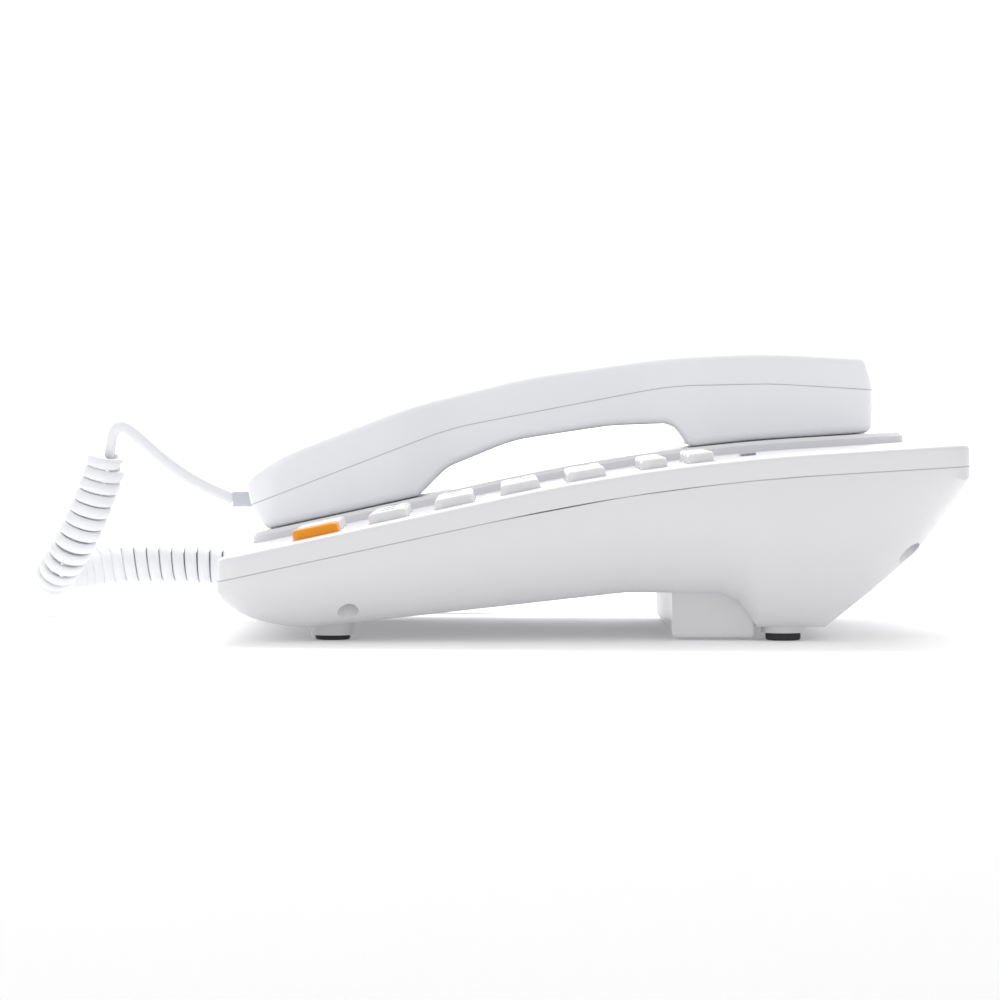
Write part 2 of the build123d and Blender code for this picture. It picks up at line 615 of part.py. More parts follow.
with BuildPart() as line_jack:
    add(
        box_between(
            (LINE_JACK[0] - LINE_BODY[0], LINE_SOCKET[1], LINE_JACK[1] - LINE_BODY[1]),
            (LINE_JACK[0] + LINE_BODY[0], LINE_SOCKET[0], LINE_JACK[1] + LINE_BODY[1]),
        )
    )
    cavity = box_between(
        (LINE_JACK[0] - LINE_MOUTH[0] / 2, LINE_SOCKET[1] + 3, LINE_JACK[1] - LINE_MOUTH[1] / 2),
        (LINE_JACK[0] + LINE_MOUTH[0] / 2, LINE_SOCKET[0] + 1, LINE_JACK[1] + LINE_MOUTH[1] / 2),
    )
    add(cavity, mode=Mode.SUBTRACT)
write(line_jack, "line_jack")

wall_square = 1.25 * WALL * math.cos(rear_wall_slope)
with BuildPart() as ringer_switch:
    with BuildSketch(switch_plane.offset(-wall_square - 0.3)):
        with Locations((-SWITCH_TRAVEL / 2, 0)):
            Rectangle(*SWITCH_KNOB[:2])
    extrude(amount=wall_square + 0.3 + SWITCH_KNOB[2])
    with BuildSketch(switch_plane.offset(-wall_square - 0.4)):
        with Locations((-SWITCH_TRAVEL / 2, 0)):
            Rectangle(12, 7)
    extrude(amount=-1.2)
    with BuildSketch(switch_plane.offset(-wall_square - 0.4)):
        with Locations((-SWITCH_TRAVEL / 2, 0)):
            Rectangle(*SWITCH_KNOB[:2])
    extrude(amount=0.2)
write(ringer_switch, "ringer_switch")

# ---------------------------------------------------------------- handset
seat_z = CRADLE_RISE + REST_GAP
handset_side = [  # (y, z) and corner radius, from the nose along the top, and back along the underside
    (-113.2, 47.6, 3.0),
    (-99.0, 57.0, 40.0),
    (-57.5, 73.1, 120.0),
    (-18.0, 82.7, 200.0),
    (28.0, 89.1, 200.0),
    (60.0, 90.5, 250.0),
    (92.0, 88.6, 3.5),
    (95.8, 77.5, 3.0),
    (95.0, deck_z(95.0) + seat_z, 3.0),
    (55.0, deck_z(55.0) + seat_z + 0.1, 200.0),
    (34.5, deck_z(34.5) + seat_z, 3.0),
    (28.5, 66.6, 6.0),
    (8.0, 65.8, 60.0),
    (-24.0, 61.0, 50.0),
    (-46.0, 52.0, 14.0),
    (-55.5, deck_z(-55.5) + seat_z, 3.0),
    (-106.0, deck_z(-106.0) + seat_z, 3.0),
    (-111.3, 39.6, 2.0),
]
wide = HANDSET_WIDTH / 2
narrow = GRIP_WIDTH / 2
half_plan = [  # (x, y) and corner radius of the right half, from the nose to the ear end
    (wide, -113.2, 12.0),
    (wide, -62.0, 40.0),
    (narrow, -44.0, 40.0),
    (narrow, 20.0, 40.0),
    (wide, 38.0, 40.0),
    (wide, 95.8, 10.0),
]
handset_plan = half_plan + [(-x, y, r) for x, y, r in reversed(half_plan)]
handset_parting = [(-125.0, 34.2), (-45.0, 65.0), (28.0, 79.0), (62.0, 79.7), (110.0, 76.8)]


def closed_outline(corners):
    """A closed outline with rounded corners."""
    return FilletPolyline(*[c[:2] for c in corners], radius=[c[2] for c in corners], close=True)


def handset_block(inset):
    """The handset's whole outer shape, or its hollow when inset is the wall."""
    with BuildPart() as block:
        with BuildSketch(Plane.YZ.offset(HANDSET_X - wide - 3)):
            with BuildLine():
                closed_outline(handset_side)
            make_face()
            if inset:
                offset(amount=-inset, kind=Kind.INTERSECTION, mode=Mode.REPLACE)
        extrude(amount=2 * wide + 6)
        with BuildSketch(Plane((HANDSET_X, 0, 0))):
            with BuildLine():
                closed_outline(handset_plan)
            make_face()
            if inset:
                offset(amount=-inset, kind=Kind.INTERSECTION, mode=Mode.REPLACE)
        extrude(amount=120, mode=Mode.INTERSECT)
    return block.part


def handset_side_of_parting(upper):
    """Everything above or below the line where the handset's two shells meet."""
    far = 140.0 if upper else -20.0
    with BuildPart() as half:
        with BuildSketch(Plane.YZ.offset(HANDSET_X - 40)):
            with BuildLine():
                line = FilletPolyline(*handset_parting, radius=90)
                Polyline(line @ 1, (handset_parting[-1][0], far), (handset_parting[0][0], far), line @ 0)
            make_face()
        extrude(amount=80)
    return half.part


def parting_z(y):
    """Height of the handset's parting line at y, without its rounding."""
    for (y0, z0), (y1, z1) in zip(handset_parting, handset_parting[1:]):
        if y <= y1:
            break
    return z0 + (z1 - z0) * (y - y0) / (y1 - y0)


def handset_rim(edge):
    """Whether an edge runs round the handset's top or its underside, and not across it."""
    point = edge.center()
    height = point.Z - parting_z(point.Y)
    upright_edge = edge.geom_type == GeomType.LINE and abs(edge.tangent_at(0.5).Z) > 0.9
    across = edge.geom_type == GeomType.LINE and abs(edge.tangent_at(0.5).X) > 0.9 and -100 < point.Y < 90
    return not upright_edge and not across and abs(height) > 2


with BuildPart() as rounded_handset:
    add(handset_block(0))
    fillet([e for e in rounded_handset.edges() if handset_rim(e)], HANDSET_ROUND)
outer_handset = rounded_handset.part
inner_handset = handset_block(WALL)
HANDSET_SCREWS = (-59.0, 40.0)
HANDSET_SEAT = 8.0  # how far the handset's screws sit above its underside


def under_z(y):
    """Height of the handset's resting underside at y."""
    return deck_z(y) + seat_z


with BuildPart() as handset_upper_shell:
    add(outer_handset)
    add(inner_handset, mode=Mode.SUBTRACT)
    for y in HANDSET_SCREWS:
        add(upright(HANDSET_X, y, 3.2, under_z(y) + HANDSET_SEAT + 2.6, 95) & outer_handset)
    add(handset_side_of_parting(True), mode=Mode.INTERSECT)
    for y in HANDSET_SCREWS:
        add(upright(HANDSET_X, y, 1.3, 20, under_z(y) + HANDSET_SEAT + 10), mode=Mode.SUBTRACT)
    nose_mouth = box_between(
        (HANDSET_X - PLUG[0] / 2 - 0.3, -125, HANDSET_EXIT[1] - PLUG[1] / 2 - 0.3),
        (HANDSET_X + PLUG[0] / 2 + 0.3, HANDSET_SOCKET[0] + 1, HANDSET_EXIT[1] + PLUG[1] / 2 + 0.3),
    )
    add(nose_mouth, mode=Mode.SUBTRACT)

with BuildPart() as handset_lower_shell:
    add(outer_handset)
    add(inner_handset, mode=Mode.SUBTRACT)
    for y in HANDSET_SCREWS:
        add(upright(HANDSET_X, y, 4.0, 20, under_z(y) + HANDSET_SEAT + 2.5) & outer_handset)
    add(handset_side_of_parting(False), mode=Mode.INTERSECT)
    for y in (EAR_Y, MOUTH_Y):
        with BuildSketch(deck_plane(HANDSET_X, y, seat_z - PAD_DEPTH)):
            RectangleRounded(PAD_SIZE, PAD_SIZE, 8)
        extrude(amount=PAD_DEPTH + WALL)
    for y in HANDSET_SCREWS:
        add(upright(HANDSET_X, y, 2.6, 20, under_z(y) + HANDSET_SEAT), mode=Mode.SUBTRACT)
        add(upright(HANDSET_X, y, 1.5, 20, 90), mode=Mode.SUBTRACT)
    with BuildSketch(deck_plane(HANDSET_X, EAR_Y, seat_z - PAD_DEPTH - 1)):
        Circle(1.2)
        with PolarLocations(6, 6):
            Circle(1.2)
    extrude(amount=PAD_DEPTH + WALL + 2, mode=Mode.SUBTRACT)
    with BuildSketch(deck_plane(HANDSET_X, MOUTH_Y, seat_z - PAD_DEPTH - 1)):
        with GridLocations(5, 0, 3, 1):
            Circle(1.0)
    extrude(amount=PAD_DEPTH + WALL + 2, mode=Mode.SUBTRACT)
    add(nose_mouth, mode=Mode.SUBTRACT)
write(handset_upper_shell, "handset_upper_shell")
write(handset_lower_shell, "handset_lower_shell")

with BuildPart() as handset_screws:
    for y in HANDSET_SCREWS:
        seat = under_z(y) + HANDSET_SEAT
        add(upright(HANDSET_X, y, 2.3, seat - 1.8, seat))
        add(upright(HANDSET_X, y, 1.2, seat - 0.1, seat + 9))
        add(upright(HANDSET_X, y, 0.9, seat - 3, seat - 0.8), mode=Mode.SUBTRACT)
write(handset_screws, "handset_screws")

for name, y, radius, depth in (
    ("receiver_capsule", EAR_Y, 17.0, 9.0),
    ("microphone_capsule", MOUTH_Y, 7.0, 6.5),
):
    with BuildPart() as capsule:
        with BuildSketch(deck_plane(HANDSET_X, y, seat_z + WALL + 0.3)):
            Circle(radius)
        extrude(amount=depth)
        fillet(capsule.edges().group_by(Axis.Z)[-1], 1.0)
    write(capsule, name)

weight_slope = math.atan2(65.8 - 61.0, 8.0 + 24.0)
with BuildPart() as handset_weight:
    weight_plane = Plane(
        origin=(HANDSET_X, 0, 68.5),
        x_dir=(1, 0, 0),
        z_dir=(0, -math.sin(weight_slope), math.cos(weight_slope)),
    )
    with BuildSketch(weight_plane):
        RectangleRounded(24, 52, 3)
    extrude(amount=4)
write(handset_weight, "handset_weight")

with BuildPart() as handset_socket:
    add(
        box_between(
            (HANDSET_X - jack_y, HANDSET_SOCKET[0], HANDSET_EXIT[1] - jack_z),
            (HANDSET_X + jack_y, HANDSET_SOCKET[1], HANDSET_EXIT[1] + jack_z),
        )
    )
    cavity = box_between(
        (HANDSET_X - jack_y + SOCKET_WALL, HANDSET_SOCKET[0] - 1, HANDSET_EXIT[1] - jack_z + SOCKET_WALL),
        (
            HANDSET_X + jack_y - SOCKET_WALL,
            HANDSET_SOCKET[1] - SOCKET_WALL,
            HANDSET_EXIT[1] + jack_z - SOCKET_WALL,
        ),
    )
    add(cavity, mode=Mode.SUBTRACT)
write(handset_socket, "handset_socket")

# ---------------------------------------------------------------- cord, with a plug at each end
with BuildPart() as handset_plug:
    add(
        box_between(
            (HANDSET_X - PLUG[0] / 2, HANDSET_SOCKET[0], HANDSET_EXIT[1] - PLUG[1] / 2),
            (HANDSET_X + PLUG[0] / 2, HANDSET_SOCKET[0] + PLUG[2] - 1, HANDSET_EXIT[1] + PLUG[1] / 2),
        )
    )
    with BuildSketch(Plane.XZ.offset(-HANDSET_SOCKET[0])):
        with Locations((HANDSET_X, HANDSET_EXIT[1])):
            RectangleRounded(6.6, 5.4, 1.2)
    extrude(amount=HANDSET_SOCKET[0] - HANDSET_EXIT[0])
write(handset_plug, "handset_plug")

with BuildPart() as base_plug:
    add(
        box_between(
            (BASE_SOCKET[0], BASE_JACK[0] - PLUG[0] / 2, BASE_JACK[1] - PLUG[1] / 2),
            (BASE_SOCKET[0] + PLUG[2], BASE_JACK[0] + PLUG[0] / 2, BASE_JACK[1] + PLUG[1] / 2),
        )
    )
    with BuildSketch(Plane.YZ.offset(BASE_EXIT_X)):
        with Locations(BASE_JACK):
            RectangleRounded(6.6, 5.4, 1.2)
    extrude(amount=BASE_SOCKET[0] - BASE_EXIT_X)
write(base_plug, "base_plug")

beside = -half_width  # the base's left side
coil_top = (HANDSET_X - 6.5, -160.2, 56.8)
coil_start = (HANDSET_X - 6.7, -160.5, 55.9)  # a small gap below the tail's end, which moves with the handset
coil_end = (beside - 14.0, -28.0, 9.0)
handset_tail_route = [
    (HANDSET_X, HANDSET_EXIT[0], HANDSET_EXIT[1]),
    (HANDSET_X - 0.2, -125.0, 43.6),
    (HANDSET_X - 0.6, -134.0, 48.3),
    (HANDSET_X - 1.2, -143.0, 54.8),
    (HANDSET_X - 2.2, -150.5, 61.6),
    (HANDSET_X - 3.8, -156.0, 66.0),
    (HANDSET_X - 5.4, -159.8, 63.5),
    coil_top,
]
coil_route = [
    coil_start,
    (HANDSET_X - 10.0, -167.5, 37.0),
    (HANDSET_X - 15.0, -176.0, 20.5),
    (beside + 10.0, -182.0, 13.5),
    (beside - 5.0, -181.0, 14.5),
    (beside - 13.5, -169.0, 16.5),
    (beside - 14.5, -150.0, 17.5),
    (beside - 14.0, -129.0, 17.0),
    (beside - 14.5, -104.0, 13.0),
    (beside - 13.5, -79.0, 8.5),
    (beside - 14.2, -53.0, 7.8),
    coil_end,
]
base_tail_route = [
    coil_end,
    (beside - 14.2, -19.0, 10.2),
    (beside - 15.8, -10.0, 14.5),
    (beside - 17.0, -2.5, 21.0),
    (beside - 14.5, 3.0, 28.5),
    (BASE_EXIT_X - 5.0, BASE_JACK[0] + 0.4, BASE_JACK[1] + 0.3),
    (BASE_EXIT_X, BASE_JACK[0], BASE_JACK[1]),
]


def bend_radii(points):
    """The largest arc that each corner's two runs allow."""
    radii = []
    for a, b, c in zip(points, points[1:], points[2:]):
        arriving = Vector(*b) - Vector(*a)
        leaving = Vector(*c) - Vector(*b)
        half_turn = math.radians(arriving.get_angle(leaving)) / 2
        radii.append(0.45 * min(arriving.length, leaving.length) / math.tan(half_turn))
    return radii


def tube(points, width):
    """A round tube along straight runs joined by tangent arcs."""
    radii = bend_radii(points)
    with BuildPart() as solid:
        with BuildLine() as route:
            FilletPolyline(*points, radius=radii)
        with BuildSketch(Plane(origin=route.line @ 0, z_dir=route.line % 0)):
            Circle(width / 2)
        sweep()
    length = route.wire().length
    expected = math.pi * width**2 / 4 * length
    print("bend radii", [round(r, 1) for r in radii], "length", round(length, 1))
    print("volume", round(solid.part.volume, 1), "section x length", round(expected, 1))
    return solid


write(tube(handset_tail_route, CORD_WIDTH), "handset_cord_tail")
write(tube(coil_route, COIL_WIDTH), "handset_cord_coil")
write(tube(base_tail_route, CORD_WIDTH), "base_cord_tail")
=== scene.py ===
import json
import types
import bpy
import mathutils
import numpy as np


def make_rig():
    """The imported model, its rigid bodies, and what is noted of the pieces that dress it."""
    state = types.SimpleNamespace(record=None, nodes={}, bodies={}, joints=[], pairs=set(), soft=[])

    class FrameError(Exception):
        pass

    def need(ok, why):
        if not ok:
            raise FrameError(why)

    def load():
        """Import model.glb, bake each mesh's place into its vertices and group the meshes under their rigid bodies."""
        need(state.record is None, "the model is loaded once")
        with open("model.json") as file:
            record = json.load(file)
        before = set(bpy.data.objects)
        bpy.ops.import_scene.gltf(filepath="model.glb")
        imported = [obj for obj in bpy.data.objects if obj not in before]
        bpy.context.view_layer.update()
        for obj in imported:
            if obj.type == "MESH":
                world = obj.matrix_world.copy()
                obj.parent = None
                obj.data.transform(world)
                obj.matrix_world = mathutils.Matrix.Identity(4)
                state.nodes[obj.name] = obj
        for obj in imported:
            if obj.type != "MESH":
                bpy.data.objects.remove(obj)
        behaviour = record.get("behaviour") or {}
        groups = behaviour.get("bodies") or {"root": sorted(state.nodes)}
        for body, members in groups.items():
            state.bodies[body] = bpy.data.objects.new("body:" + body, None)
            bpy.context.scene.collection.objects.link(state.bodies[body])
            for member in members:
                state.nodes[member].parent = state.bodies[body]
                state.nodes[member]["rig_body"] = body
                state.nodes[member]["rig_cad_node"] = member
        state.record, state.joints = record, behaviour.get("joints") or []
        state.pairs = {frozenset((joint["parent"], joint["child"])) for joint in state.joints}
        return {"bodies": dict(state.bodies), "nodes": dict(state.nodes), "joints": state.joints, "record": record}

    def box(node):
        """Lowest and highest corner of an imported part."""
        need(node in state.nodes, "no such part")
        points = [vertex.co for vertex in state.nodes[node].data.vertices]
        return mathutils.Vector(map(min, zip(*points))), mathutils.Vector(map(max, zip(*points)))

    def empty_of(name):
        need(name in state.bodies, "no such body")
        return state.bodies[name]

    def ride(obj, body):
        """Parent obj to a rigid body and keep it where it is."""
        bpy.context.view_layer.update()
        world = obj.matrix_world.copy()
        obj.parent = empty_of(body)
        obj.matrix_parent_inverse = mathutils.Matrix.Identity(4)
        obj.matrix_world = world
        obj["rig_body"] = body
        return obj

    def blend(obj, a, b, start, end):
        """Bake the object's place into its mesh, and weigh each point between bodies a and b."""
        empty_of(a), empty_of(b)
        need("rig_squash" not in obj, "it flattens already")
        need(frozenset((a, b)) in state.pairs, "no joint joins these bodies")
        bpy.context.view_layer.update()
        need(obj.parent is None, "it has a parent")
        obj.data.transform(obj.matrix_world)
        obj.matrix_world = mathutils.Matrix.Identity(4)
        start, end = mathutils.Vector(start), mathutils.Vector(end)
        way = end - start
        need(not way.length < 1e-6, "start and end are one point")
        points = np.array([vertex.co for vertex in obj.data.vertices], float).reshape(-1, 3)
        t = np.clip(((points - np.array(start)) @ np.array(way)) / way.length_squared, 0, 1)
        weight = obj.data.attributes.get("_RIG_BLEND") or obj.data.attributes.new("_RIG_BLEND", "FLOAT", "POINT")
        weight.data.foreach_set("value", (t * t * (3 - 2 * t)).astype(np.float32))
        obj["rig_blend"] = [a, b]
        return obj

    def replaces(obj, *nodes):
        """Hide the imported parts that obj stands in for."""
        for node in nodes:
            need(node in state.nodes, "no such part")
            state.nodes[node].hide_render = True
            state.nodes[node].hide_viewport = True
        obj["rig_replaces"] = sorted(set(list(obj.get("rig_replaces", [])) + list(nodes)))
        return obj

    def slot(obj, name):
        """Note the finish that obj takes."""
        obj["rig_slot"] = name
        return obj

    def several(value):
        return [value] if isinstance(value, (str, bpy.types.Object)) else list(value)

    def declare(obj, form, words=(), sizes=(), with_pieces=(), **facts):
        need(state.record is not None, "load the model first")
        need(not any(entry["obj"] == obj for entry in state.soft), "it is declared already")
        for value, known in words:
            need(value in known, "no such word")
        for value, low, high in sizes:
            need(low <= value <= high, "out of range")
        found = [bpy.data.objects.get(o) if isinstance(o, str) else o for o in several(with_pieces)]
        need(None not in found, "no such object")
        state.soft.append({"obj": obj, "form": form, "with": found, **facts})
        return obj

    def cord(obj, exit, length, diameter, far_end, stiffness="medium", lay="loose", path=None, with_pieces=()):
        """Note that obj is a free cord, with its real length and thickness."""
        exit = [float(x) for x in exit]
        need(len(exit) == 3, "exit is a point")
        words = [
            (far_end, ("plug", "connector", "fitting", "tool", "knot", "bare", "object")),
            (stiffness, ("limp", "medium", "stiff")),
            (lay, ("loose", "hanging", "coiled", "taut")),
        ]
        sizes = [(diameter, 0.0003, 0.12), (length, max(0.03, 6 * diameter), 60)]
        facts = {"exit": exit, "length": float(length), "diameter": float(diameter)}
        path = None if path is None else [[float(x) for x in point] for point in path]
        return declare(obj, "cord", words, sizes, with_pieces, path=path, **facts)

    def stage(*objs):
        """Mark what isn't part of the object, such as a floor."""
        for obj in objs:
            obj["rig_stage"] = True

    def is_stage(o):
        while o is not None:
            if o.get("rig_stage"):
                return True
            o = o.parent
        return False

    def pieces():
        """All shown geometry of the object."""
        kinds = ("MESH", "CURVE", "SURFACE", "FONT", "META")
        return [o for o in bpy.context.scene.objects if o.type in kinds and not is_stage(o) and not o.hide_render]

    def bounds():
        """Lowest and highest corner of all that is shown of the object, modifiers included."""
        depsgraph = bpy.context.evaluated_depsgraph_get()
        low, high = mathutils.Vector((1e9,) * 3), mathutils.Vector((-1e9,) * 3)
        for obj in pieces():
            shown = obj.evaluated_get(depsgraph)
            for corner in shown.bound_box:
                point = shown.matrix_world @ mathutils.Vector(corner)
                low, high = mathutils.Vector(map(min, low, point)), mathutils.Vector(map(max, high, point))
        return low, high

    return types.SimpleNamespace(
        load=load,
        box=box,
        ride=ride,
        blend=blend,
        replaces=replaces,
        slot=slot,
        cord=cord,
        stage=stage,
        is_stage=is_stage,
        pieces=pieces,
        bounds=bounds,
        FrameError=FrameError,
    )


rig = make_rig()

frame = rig.load()

import json
import logging
import math
from dataclasses import dataclass, field
from enum import Enum

import bmesh
import bpy
from mathutils import Matrix, Vector

log = logging.getLogger("corded_phone")

SIZE_FILE = "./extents.json"

# ---------------------------------------------------------------- sizes shared with the CAD model
HALF_LENGTH = 0.115
DECK_FRONT = 0.0258
DECK_REAR = 0.0611
KNEE_Y, KNEE_Z = 0.0209, 0.0554
DECK_RADIUS = 0.650
BAND = 0.0068  # height of the upper shell's side band
KEY_COLUMNS = (0.006, 0.031, 0.056)
DIAL_ROWS = (-0.063, -0.0425, -0.022, -0.0015)
SCREW_PLACES = ((0.080, -0.075), (-0.080, -0.075), (0.076, 0.097), (-0.076, 0.097))
SCREW_SEAT = 0.015
HANDSET_SEAM = ((-0.125, 0.0342), (-0.045, 0.065), (0.028, 0.079), (0.062, 0.0797), (0.110, 0.0768))
HANDSET_SEAM_RADIUS = 0.090  # rounding of that line's corners
HANDSET_PARTING = "handset_parting_line"
BASE_PARTING = "base_parting_line"
HANDSET_LINE = 0.00022  # half the width of each parting line
BASE_LINE = 0.00025
LINE_STEPS = 14  # straight pieces of the base's line; the handset's has twice as many

WELD_DISTANCE = 2e-6  # closer corners become one
COLLAPSE_DISTANCE = 1e-7  # shorter edges are dropped


def deck_height(y: float) -> float:
    """Height of the deck, the base's sloping top.

    Args:
        y: place along the phone, in metres.

    Returns:
        The deck's height at y, in metres.
    """
    front = math.atan2(KNEE_Z - DECK_FRONT, KNEE_Y + HALF_LENGTH)
    rear = math.atan2(DECK_REAR - KNEE_Z, HALF_LENGTH - KNEE_Y)
    reach = DECK_RADIUS * math.tan((front - rear) / 2)
    start = KNEE_Y - reach * math.cos(front)
    if y < start:
        return KNEE_Z + (y - KNEE_Y) * math.tan(front)
    if y > KNEE_Y + reach * math.cos(rear):
        return KNEE_Z + (y - KNEE_Y) * math.tan(rear)
    centre_y = start + DECK_RADIUS * math.sin(front)
    centre_z = KNEE_Z - reach * math.sin(front) - DECK_RADIUS * math.cos(front)
    return centre_z + math.sqrt(DECK_RADIUS**2 - (y - centre_y) ** 2)


def handset_seam(y: float) -> float:
    """Height of the line where the handset's two shells meet.

    Args:
        y: place along the phone, in metres.

    Returns:
        The line's height at y, in metres.
    """
    for before, corner, after in zip(HANDSET_SEAM, HANDSET_SEAM[1:], HANDSET_SEAM[2:]):
        arriving = (corner[1] - before[1]) / (corner[0] - before[0])
        leaving = (after[1] - corner[1]) / (after[0] - corner[0])
        reach = HANDSET_SEAM_RADIUS * math.tan(abs(math.atan(arriving) - math.atan(leaving)) / 2)
        into = y - corner[0] + reach
        if into < 0:
            return corner[1] + arriving * (y - corner[0])
        if into < 2 * reach:
            bend = (leaving - arriving) * into**2 / (4 * reach)
            return corner[1] + arriving * (y - corner[0]) + bend
    return corner[1] + leaving * (y - corner[0])


def smoothstep(t: float) -> float:
    """A smooth ramp.

    Args:
        t: any number.

    Returns:
        0 below 0, 1 above 1, and a smooth rise between them.
    """
    t = min(1.0, max(0.0, t))
    return t * t * (3 - 2 * t)


def spread(low: float, high: float, steps: int) -> list[float]:
    """Evenly spread numbers.

    Args:
        low: the first number.
        high: the last one.
        steps: how many steps lie between them.

    Returns:
        The numbers, one more than the steps.
    """
    return [low + (high - low) * i / steps for i in range(steps + 1)]


# ---------------------------------------------------------------- node helpers
class Graph:
    """Short calls for building a node tree."""

    def __init__(self, tree: bpy.types.NodeTree) -> None:
        """Wraps a tree.

        Args:
            tree: the node tree that nodes are added to.
        """
        self.tree = tree

    def add(self, kind: str, inputs: dict | None = None, **settings: object) -> bpy.types.Node:
        """Adds one node.

        Args:
            kind: the node's type name.
            inputs: input sockets by name or index, each with a value or a socket to link.
            **settings: the node's own properties.

        Returns:
            The new node.
        """
        node = self.tree.nodes.new(kind)
        for name, value in settings.items():
            setattr(node, name, value)
        for key, value in (inputs or {}).items():
            if isinstance(value, bpy.types.NodeSocket):
                self.tree.links.new(value, node.inputs[key])
            else:
                node.inputs[key].default_value = value
        return node

    def math(
        self,
        operation: str,
        a: float | bpy.types.NodeSocket,
        b: float | bpy.types.NodeSocket = 0.0,
        clamp: bool = False,
    ) -> bpy.types.NodeSocket:
        """Adds a maths node.

        Args:
            operation: the operation's name.
            a: first value or socket.
            b: second value or socket.
            clamp: whether the result is kept between 0 and 1.

        Returns:
            The result's socket.
        """
        return self.add("ShaderNodeMath", {0: a, 1: b}, operation=operation, use_clamp=clamp).outputs[0]

    def mix(
        self,
        factor: float | bpy.types.NodeSocket,
        a: tuple | bpy.types.NodeSocket,
        b: tuple | bpy.types.NodeSocket,
    ) -> bpy.types.NodeSocket:
        """Mixes two colours.

        Args:
            factor: share of b.
            a: first colour or socket.
            b: second colour or socket.

        Returns:
            The mixed colour's socket.
        """
        node = self.add("ShaderNodeMix", {0: factor, 6: a, 7: b}, data_type="RGBA")
        return node.outputs[2]

    def noise(
        self, vector: bpy.types.NodeSocket, scale: float | bpy.types.NodeSocket, detail: float
    ) -> bpy.types.NodeSocket:
        """Adds a noise texture.

        Args:
            vector: coordinates' socket.
            scale: noise cells a metre.
            detail: number of octaves.

        Returns:
            The noise's value, from 0 to 1.
        """
        settings = {"Vector": vector, "Scale": scale, "Detail": detail}
        return self.add("ShaderNodeTexNoise", settings).outputs[0]


def new_group(
    name: str, inputs: list[tuple], outputs: list[tuple], kind: str = "ShaderNodeTree"
) -> tuple[Graph, bpy.types.Node, bpy.types.Node]:
    """Makes an empty node group.

    Args:
        name: the group's name.
        inputs: (name, socket type, default) of each input.
        outputs: (name, socket type) of each output.
        kind: the tree's type.

    Returns:
        The group's graph, its input node and its output node.
    """
    tree = bpy.data.node_groups.new(name, kind)
    for label, socket_type, default in inputs:
        socket = tree.interface.new_socket(label, in_out="INPUT", socket_type=socket_type)
        if default is not None:
            socket.default_value = default
    for label, socket_type in outputs:
        tree.interface.new_socket(label, in_out="OUTPUT", socket_type=socket_type)
    return Graph(tree), tree.nodes.new("NodeGroupInput"), tree.nodes.new("NodeGroupOutput")


SURFACE_OUTPUTS = [
    ("Colour", "NodeSocketColor"),
    ("Roughness", "NodeSocketFloat"),
    ("Height", "NodeSocketFloat"),
]


def surface_inputs() -> list[tuple]:
    """The inputs that every surface group has.

    Returns:
        (name, socket type, default) of each input.
    """
    return [
        ("Colour", "NodeSocketColor", (0.8, 0.8, 0.8, 1.0)),
        ("Shade", "NodeSocketColor", (0.7, 0.7, 0.7, 1.0)),
        ("Roughness", "NodeSocketFloat", 0.4),
        ("Grain", "NodeSocketFloat", 1400.0),
    ]


def moulded_group() -> bpy.types.NodeTree:
    """Moulded plastic or rubber: a fine spark-eroded grain, slow changes of tone and a few dull patches.

    Returns:
        The group's tree.
    """
    graph, given, result = new_group("moulded_surface", surface_inputs(), SURFACE_OUTPUTS)
    place = graph.add("ShaderNodeTexCoord").outputs["Object"]
    tone_cells, dull_cells = 14.0, 55.0  # a metre
    dull_depth = 0.1  # how far the patches change the roughness
    slow = graph.noise(place, tone_cells, 2.0)
    dull = graph.noise(place, dull_cells, 4.0)
    grain = graph.noise(place, given.outputs["Grain"], 2.0)
    colour = graph.mix(slow, given.outputs["Colour"], given.outputs["Shade"])
    patches = graph.math("MULTIPLY", graph.math("SUBTRACT", dull, 0.5), dull_depth)
    rough = graph.math("ADD", given.outputs["Roughness"], patches, True)
    graph.tree.links.new(colour, result.inputs["Colour"])
    graph.tree.links.new(rough, result.inputs["Roughness"])
    graph.tree.links.new(grain, result.inputs["Height"])
    return graph.tree


def metal_group() -> bpy.types.NodeTree:
    """Drawn or plated metal: streaks along X and Y, with slow dull patches.

    Returns:
        The group's tree.
    """
    graph, given, result = new_group("drawn_metal", surface_inputs(), SURFACE_OUTPUTS)
    place = graph.add("ShaderNodeTexCoord").outputs["Object"]
    streak_cells = (900.0, 900.0, 9000.0)  # a metre along X, Y and Z
    streak_depth = 0.2  # how far the streaks change the roughness
    dull_cells = 260.0
    stretched = graph.add(
        "ShaderNodeVectorMath", {0: place, 1: streak_cells}, operation="MULTIPLY"
    ).outputs[0]
    streak = graph.noise(stretched, 1.0, 2.0)
    dull = graph.noise(place, dull_cells, 3.0)
    colour = graph.mix(dull, given.outputs["Colour"], given.outputs["Shade"])
    rough = graph.math("ADD", given.outputs["Roughness"], graph.math("MULTIPLY", streak, streak_depth), True)
    graph.tree.links.new(colour, result.inputs["Colour"])
    graph.tree.links.new(rough, result.inputs["Roughness"])
    graph.tree.links.new(streak, result.inputs["Height"])
    return graph.tree


